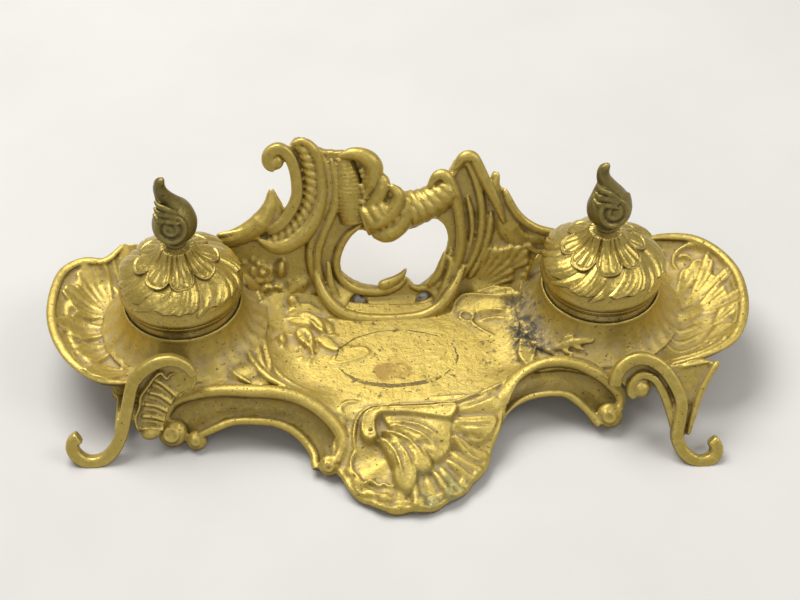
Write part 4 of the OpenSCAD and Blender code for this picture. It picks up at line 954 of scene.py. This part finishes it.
def lid_relief(r, a, z, swirl):
    """Heights over a lid's dome: broad swirling lobes with leaf tips between them, then the petals."""
    down = 20 - z
    s = a + swirl * down + 0.0012 * down**2 + 0.10 * np.sin(2 * a + 1) + 0.06 * np.sin(5 * a)
    lobe = 7 * s / (2 * np.pi)
    part, which = np.mod(lobe, 1), np.floor(np.mod(lobe, 7))
    mass = np.sin(np.pi * np.clip(part / 0.74, 0, 1)) ** 0.55 * (part < 0.74)
    leaf = np.sin(np.pi * np.clip((part - 0.74) / 0.26, 0, 1)) * (part >= 0.74)
    ribs = np.abs(np.sin(np.pi * part / 0.74 * (4 + np.mod(which, 2)))) ** 0.8
    low = step01(17, 10.5, z)
    depth = 10.6 + 0.5 * np.sin(2.4 * which) + 0.8 * (1 - mass) * (leaf < 0.02) - 2.4 * leaf
    depth = depth + 0.25 * np.sin(9 * np.pi * part)
    on = step01(depth - 0.25, depth + 0.25, z)
    gadroon = on * (0.15 + 1.35 * mass + 0.75 * leaf * low + 0.45 * ribs * mass * (0.25 + 0.75 * low)) - 0.9
    gadroon = np.where(z > depth - 0.25, gadroon, -0.9 * step01(3.5, 8.5, z))
    groove = np.exp(-((z - 3.0) / 0.35) ** 2) + 0.7 * np.exp(-((z - 1.5) / 0.3) ** 2)
    # petals: two lobes each, an outline lip and flutes that run down from the neck
    q = np.mod(a / (2 * np.pi) * 4, 1)
    phi = np.abs(2 * q - 1)
    edge = 18.0 - 4.4 * np.abs((phi - 0.47) / 0.5) ** 3.2 + 0.7 * np.sin(a + 2)
    inset = edge - r
    body = step01(-0.25, 0.2, inset)
    lip = np.exp(-((inset - 0.55) / 0.42) ** 2)
    flute = np.abs(np.sin(np.pi * 3 * phi)) * step01(4.5, 7.5, r) * step01(0.9, 2.2, inset)
    seam = np.exp(-((phi / 0.06) ** 2)) + np.exp(-(((1 - phi) / 0.09) ** 2))
    petal = 0.75 + 0.65 * lip + 0.5 * flute - 0.6 * seam * step01(0.8, 2, inset)
    over = body * step01(9, 12, z)
    neck = 0.35 * np.abs(np.sin(18 * a)) * step01(21, 26, z)
    return gadroon * (1 - over) + (petal - 0.35) * over + neck * over - 0.4 * groove


def ring_bar(shape, centre, face, radius, r, flat=1.0, n=60, start=0, stop=360, drift=0.0):
    """Round bar bent into a ring, or part of one, that looks along face."""
    side = unit(np.cross((0, 0, 1), face))
    up = np.cross(face, side)
    t = np.radians(np.linspace(start, stop, n))[:, None]
    path = centre + (radius + drift * (t - t[0])) * (np.cos(t) * side + np.sin(t) * up)
    shape.sweep(path, face, round_profile(r, r * flat))


def finial_shape(x, turn, wrap):
    """Flame finial: round bulb with an eyed dish in front, drawn out into a folded, curling tongue."""
    shape = Shape()
    rows, a = smooth_curve(FLAME, 120, dims=4), around(110)
    z = rows[:, 3:]
    fold = np.mod(2 * (a[None] + wrap * z + turn) / (2 * np.pi), 1)
    r = rows[:, :1] * (1 + step01(13, 19, z) * (0.18 * fold**1.6 - 0.08))
    dx, dy = rows[:, 1:2] * math.cos(turn), rows[:, 1:2] * math.sin(turn) + rows[:, 2:3]
    shape.rings(np.stack([x + dx + r * np.cos(a), WELL_Y + dy + r * np.sin(a), FINIAL_Z + z + 0 * r], -1))
    face = unit(np.array((math.sin(turn), -1.0, 0.45)))
    spot = np.array((x - 0.5, WELL_Y, FINIAL_Z + 11)) + face * 7.6
    ring_bar(shape, spot + face * 0.9, face, 5.7, 1.1, 0.9, 90)
    ring_bar(shape, spot + face * 1.5, face, 2.5, 0.8)
    shape.ball(spot, (5.6, 5.6, 1.6), face, 48)
    for k in range(3):
        lift, far = 3.4 * k, 0.5 * k
        path = [[-7.5 + far, -2.5, 19 + lift], [-5.5 + far, -5.5 + far, 17.6 + lift],
                [-1.5, -7.6 + 1.6 * far, 18.4 + 0.8 * lift], [3, -7.8 + 2.2 * far, 17 + 0.5 * lift]]
        path = smooth_curve(path, 40)
        path[:, 0] *= math.cos(turn)
        shape.sweep(path + (x, WELL_Y, FINIAL_Z), (0, -1, 0.4), round_profile(1.3, 1.0), taper(40, 0.3, 0.5, 0.2))
    return shape

# ---- materials --------------------------------------------------------------------------

BRIGHT, MIDDLE, DEEP = (0.69, 0.54, 0.17), (0.49, 0.365, 0.078), (0.12, 0.08, 0.015)
METAL = 0.74
DUST, PIT, VERDIGRIS = (0.43, 0.33, 0.18), (0.035, 0.026, 0.016), (0.16, 0.22, 0.15)
INK, BROWN_SPOT, RING = (0.010, 0.014, 0.018), (0.34, 0.20, 0.035), (0.11, 0.075, 0.03)
FILM = (0.42, 0.325, 0.18)
STEEL, OXIDE = (0.42, 0.43, 0.42), (0.13, 0.085, 0.05)
GLASS, INK_TRACE = (0.72, 0.80, 0.78), (0.10, 0.12, 0.22)
FLOOR_GREYS = (0.60, 0.585, 0.56), (0.63, 0.615, 0.59)


class Value:
    """Number made by a material's nodes, for plain arithmetic."""

    def __init__(self, socket, math):
        self.socket, self.math = socket, math

    def __add__(self, other):
        return self.math("ADD", self, other)

    def __sub__(self, other):
        return self.math("SUBTRACT", self, other)

    def __rsub__(self, other):
        return self.math("SUBTRACT", other, self)

    def __mul__(self, other):
        return self.math("MULTIPLY", self, other)


class Nodes:
    """A material's nodes, built in short steps."""

    def __init__(self, name):
        self.mat = bpy.data.materials.new(name)
        self.mat.use_nodes = True
        self.tree = self.mat.node_tree
        self.shader = self.tree.nodes["Principled BSDF"]
        self.place = self.value(self.put("TexCoord"), "Object")

    def put(self, kind, **options):
        node = self.tree.nodes.new("ShaderNode" + kind)
        for key, value in options.items():
            setattr(node, key, value)
        return node

    def value(self, node, output=0):
        return Value(node.outputs[output], self.math)

    def feed(self, node, values):
        """Links or sets a node's inputs, by name or number; a colour gets its fourth number."""
        for key, item in values.items():
            socket = node.inputs[key]
            if isinstance(item, Value):
                self.tree.links.new(item.socket, socket)
            else:
                colour = isinstance(item, tuple) and len(socket.default_value) == 4
                socket.default_value = (*item, 1) if colour else item
        return node

    def math(self, kind, a, b=0.0, clamp=False):
        return self.value(self.feed(self.put("Math", operation=kind, use_clamp=clamp), {0: a, 1: b}))

    def vector(self, kind, a, b=(0, 0, 0), output=0):
        return self.value(self.feed(self.put("VectorMath", operation=kind), {0: a, 1: b}), output)

    def ramp(self, value, low, high, start=0.0, stop=1.0):
        node = self.put("MapRange", interpolation_type="SMOOTHSTEP")
        return self.value(self.feed(node, dict(enumerate((value, low, high, start, stop)))))

    def mix(self, share, a, b):
        return self.value(self.feed(self.put("Mix", data_type="RGBA"), {0: share, 6: a, 7: b}), 2)

    def noise(self, scale, detail=3.0, rough=0.55):
        node = self.put("TexNoise")
        return self.value(
            self.feed(node, {"Vector": self.place, "Scale": scale, "Detail": detail, "Roughness": rough}), "Fac")

    def cloud(self, scale, detail, rough, *steps):
        """Patches of noise between two steps."""
        return self.ramp(self.noise(scale, detail, rough), *steps)

    def facing_up(self):
        """Height of the surface's own direction: 1 on top, 0 on a side, -1 below."""
        return self.value(self.feed(self.put("SeparateXYZ"), {0: self.value(self.put("TexCoord"), "Normal")}), "Z")

    def layer(self, name):
        return self.value(self.put("Attribute", attribute_name=name), "Fac")

    def blob(self, centre, size, ragged, scale):
        """Share of the way out of an oval patch in mm: 0 at its centre, 1 at its ragged edge."""
        away = self.vector("SUBTRACT", self.place, [v * MM for v in centre])
        out = self.vector("LENGTH", self.vector("DIVIDE", away, [v * MM for v in size]), output="Value")
        return out + (self.noise(scale, 4, 0.65) - 0.5) * (2 * ragged)

    def finish(self, colour, rough, metal, bump=None, depth=0.0, strength=0.0):
        self.feed(self.shader, {"Base Color": colour, "Roughness": rough, "Metallic": metal})
        if bump:
            node = self.feed(self.put("Bump"), {"Strength": strength, "Distance": depth, "Height": bump})
            self.feed(self.shader, {"Normal": self.value(node)})
        return self.mat


def brass(name, bright=BRIGHT, middle=MIDDLE, deep=DEEP, dust=0.75, relief_wear_and_shade=True, rough=0.43, pits=0.6, stains=False,
          grain=0.5, painted_shade=0.62):
    """Old cast brass: bright rubbed edges, olive flats, dust and dark grime with painted shade in the recesses,
    painted shade on faces turned sideways and down, and small pits.
    """
    n = Nodes(name)
    patch, fine, speck = n.noise(38, 4, 0.6), n.noise(420, 4, 0.6), n.noise(1500, 2, 0.5)
    if relief_wear_and_shade:
        edge, hollow = n.layer("edge") + (fine - 0.5) * 0.10, n.layer("hollow") + (fine - 0.5) * 0.5
        proud, sunk, crease = n.ramp(edge, 0.03, 0.20), n.ramp(hollow, 0.05, -0.55), n.ramp(edge, -0.02, -0.12)
    else:
        proud, sunk, crease = n.ramp(fine, 0.5, 0.75), n.ramp(patch, 0.5, 0.35), n.ramp(fine, 0.42, 0.3)
    body = n.mix(n.ramp(patch, 0.35, 0.68), middle, tuple(0.72 * m + 0.28 * b for m, b in zip(middle, bright)))
    body = n.mix(n.ramp(fine, 0.42, 0.7) * 0.35, body, bright)
    body = n.mix(proud * 0.75, body, bright)
    # Where the marks follow the relief, creases and recesses are darkened towards the deep colour, as dark grime
    # with painted shade.
    body = n.mix(n.math("MAXIMUM", crease, sunk * 0.3) * 0.75, body, deep)
    # Painted shade: faces that turn sideways and down are darkened towards the deep colour.
    under = n.ramp(n.facing_up(), 0.55, -0.35)
    body = n.mix(under * painted_shade, body, deep)
    powder = sunk * n.cloud(130, 5, 0.7, 0.36, 0.58) * dust * (1.0 - under * 0.8)
    hole = n.cloud(760, 2, 0.5, 0.655, 0.72) * pits
    colour = n.mix(hole, n.mix(powder, body, DUST), PIT)
    metal = METAL - powder * 0.75
    shine = n.math("ADD", (fine - 0.5) * 0.25 + rough, n.math("MAXIMUM", powder, hole) * 0.4, clamp=True)
    if stains:
        colour, metal, shine = add_stains(n, colour, metal, shine)
    bump = fine * 1.0 + speck * 0.35 + n.noise(130, 3, 0.6) * 1.8 - hole * 1.2
    return n.finish(colour, shine, metal, bump, 0.00035, grain)


def add_stains(n, colour, metal, shine):
    """Spilt ink, a worn ring and a brown spot on the basin's floor, freckles, verdigris and dust by the wells."""
    def patch(centre, size, ragged, scale, low, high, *cloud):
        return n.ramp(n.blob(centre, size, ragged, scale), low, high) * n.cloud(*cloud)

    drops = patch((57, 13, 22), (14, 26, 14), 0.9, 150, 1.05, 0.35, 330, 5, 0.7, 0.40, 0.52)
    colour = n.mix(drops * 0.93, colour, INK)
    ring = n.blob((-2, 2, 18), (26, 16.5, 30), 0.09, 80)
    thick = n.ramp(n.blob((-3, -34, 18), (40, 36, 60), 0.1, 60), 1.0, 0.6, 0.016, 0.07)
    line = n.math("LESS_THAN", n.math("ABSOLUTE", ring - 1.0), thick)
    line = line * n.ramp(n.noise(75, 5, 0.7) + thick * 1.3, 0.45, 0.49)
    colour = n.mix(line * 0.88, colour, RING)
    spot = patch((-4, -6, 18), (9, 6.5, 20), 0.5, 110, 1.0, 0.8, 150, 4, 0.6, 0.30, 0.56)
    colour = n.mix(spot * 0.8, colour, BROWN_SPOT)
    freckle = patch((2, 2, 18), (62, 34, 26), 0.5, 40, 1.0, 0.6, 240, 3, 0.6, 0.62, 0.70)
    colour = n.mix(freckle * 0.75, colour, RING)
    green = patch((12, -62, 8), (16, 12, 14), 0.5, 120, 1.0, 0.5, 200, 4, 0.6, 0.45, 0.6)
    colour = n.mix(green * 0.45, colour, VERDIGRIS)
    for x in (LEFT_X, RIGHT_X):
        film = patch((x, WELL_Y, 25), (42, 40, 11), 0.25, 90, 1.0, 0.7, 210, 5, 0.7, 0.38, 0.62, 0.1, 0.62)
        colour = n.mix(film, colour, FILM)
        metal = metal * (1.0 - film * 0.6)
    dull = n.math("MAXIMUM", drops, n.math("MAXIMUM", freckle, spot) * 0.6)
    return colour, metal * (1.0 - dull * 0.9), n.math("ADD", shine, dull * 0.25, clamp=True)


def steel(name):
    """Dull steel with brown oxide in patches."""
    n = Nodes(name)
    fine = n.noise(700, 4, 0.6)
    tint = n.mix(n.cloud(260, 4, 0.6, 0.48, 0.64), STEEL, OXIDE)
    return n.finish(tint, n.ramp(fine, 0.3, 0.7, 0.37, 0.65), 0.6, fine, 0.0001, 0.4)


def glass(name):
    """Clear pressed glass with a trace of dried ink low down."""
    n = Nodes(name)
    n.feed(n.shader, {"Transmission Weight": 0.9, "IOR": 1.5})
    tint = n.mix(n.cloud(160, 4, 0.6, 0.5, 0.7), GLASS, INK_TRACE)
    return n.finish(tint, n.ramp(n.noise(500), 0.3, 0.7, 0.05, 0.16), 0.0, n.noise(90, 2), 0.0002, 0.2)


def floor_material():
    n = Nodes("floor")
    return n.finish(n.mix(n.ramp(n.noise(9), 0.3, 0.7), *FLOOR_GREYS), 0.75, 0.0)

# ---- pieces -----------------------------------------------------------------------------

cast_brass = brass("old cast brass")
crest_brass = brass("old crest brass", painted_shade=0.1, dust=0.6)
tray_brass = brass("old cast brass with ink and wear", stains=True, painted_shade=0.8, rough=0.48, dust=0.9, grain=0.75)
lid_brass = brass("old lid brass", middle=(0.47, 0.345, 0.072), rough=0.28, dust=0.5, painted_shade=0.95)
finial_brass = brass("olive brass", (0.36, 0.285, 0.085), (0.205, 0.16, 0.042), (0.04, 0.032, 0.012),
                     dust=0.15, rough=0.42)
plain_materials = {
    "worn_brass": brass("rubbed brass", (0.74, 0.62, 0.30), (0.56, 0.44, 0.16), relief_wear_and_shade=False, rough=0.3, pits=0.3,
                        dust=0.3),
    "dark_brass": brass("dark brass", (0.36, 0.29, 0.12), (0.20, 0.155, 0.055), relief_wear_and_shade=False, rough=0.4),
    "steel": steel("old steel"),
    "ink_glass": glass("stained glass"),
}

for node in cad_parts.values():
    for place, old in enumerate(node.data.materials):
        if old.name in plain_materials:
            node.data.materials[place] = plain_materials[old.name]
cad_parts["crest_rivets"].data.materials[0] = plain_materials["steel"]


def add_piece(name, shape, material, body, node, cast=True):
    """Adds a visible piece, which rides on a body and stands for a node of the part."""
    obj = to_object(name, shape)
    if cast:
        fuse(obj)
    mark_wear_and_shade(obj)
    obj.data.materials.append(material)
    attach(obj, body)
    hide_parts(node)


add_piece("cast_tray", tray_shape(), tray_brass, "stand", "tray")
add_piece("crest_casting", crest_shape(), crest_brass, "stand", "crest")
for name, node, shape in (
    ("left_front_leg", "front_left_leg",
     leg_shape(LEFT_X, -38, 26.6, LEFT_SCROLL, BOSSES[0], 1, 0.2, LEFT_PANEL, left_panel_relief)),
    ("right_front_leg", "front_right_leg",
     leg_shape(RIGHT_X, -51, 35, RIGHT_SCROLL, BOSSES[1], 1, 0.02, RIGHT_PANEL, right_panel_relief, RIGHT_STROKES)),
    ("left_rear_leg", "rear_left_leg",
     leg_shape(LEFT_X, 62, 20, [[-u, v] for u, v in REAR_SCROLL], BOSSES[2], -1)),
    ("right_rear_leg", "rear_right_leg", leg_shape(RIGHT_X, 62, 20, REAR_SCROLL, BOSSES[3], -1)),
):
    add_piece(name, shape, cast_brass, "stand", node)
for side, x, turn, swirl, lean, wrap in (
    ("left", LEFT_X, 147, 0.018, 0.0, 0.11), ("right", RIGHT_X, 113, 0.038, 0.2, 0.16)
):
    body, dome = side + "_lid", lid_shape(x, math.radians(turn), swirl)
    add_piece(side + "_dome", dome, lid_brass, body, side + "_lid", cast=False)
    add_piece(side + "_flame", finial_shape(x, lean, wrap), finial_brass, body, side + "_finial")

# ---- floor, lights and picture ----------------------------------------------------------

floor_mesh = bpy.data.meshes.new("floor")
floor_mesh.from_pydata([(-4, -3, 0), (4, -3, 0), (4, 5, 0), (-4, 5, 0)], [], [(0, 1, 2, 3)])
floor = bpy.data.objects.new("floor", floor_mesh)
bpy.context.collection.objects.link(floor)
floor_mesh.materials.append(floor_material())


# place and size in metres, power in watts
LIGHTS = {"key": ((-0.35, 0.45, 1.15), (0.9, 0.7), 16), "fill": ((0.8, -0.2, 0.9), (0.6, 0.6), 4),
          "front": ((-0.2, -1.1, 1.0), (0.8, 0.3), 2)}
LIGHTS_AIM = (0, 0, 0.03)
for name, (place, size, power) in LIGHTS.items():
    data = bpy.data.lights.new(name, "AREA")
    data.shape = "RECTANGLE"
    data.size, data.size_y = size
    data.energy = power
    lamp = bpy.data.objects.new(name, data)
    bpy.context.collection.objects.link(lamp)
    lamp.location = place
    lamp.rotation_euler = (Vector(LIGHTS_AIM) - Vector(place)).to_track_quat("-Z", "Y").to_euler()

world = bpy.data.worlds.new("world")
world.use_nodes = True
world.node_tree.nodes["Background"].inputs["Color"].default_value = (1.0, 0.97, 0.92, 1)
world.node_tree.nodes["Background"].inputs["Strength"].default_value = 0.36
bpy.context.scene.world = world
bpy.context.scene.view_settings.view_transform = "Standard"
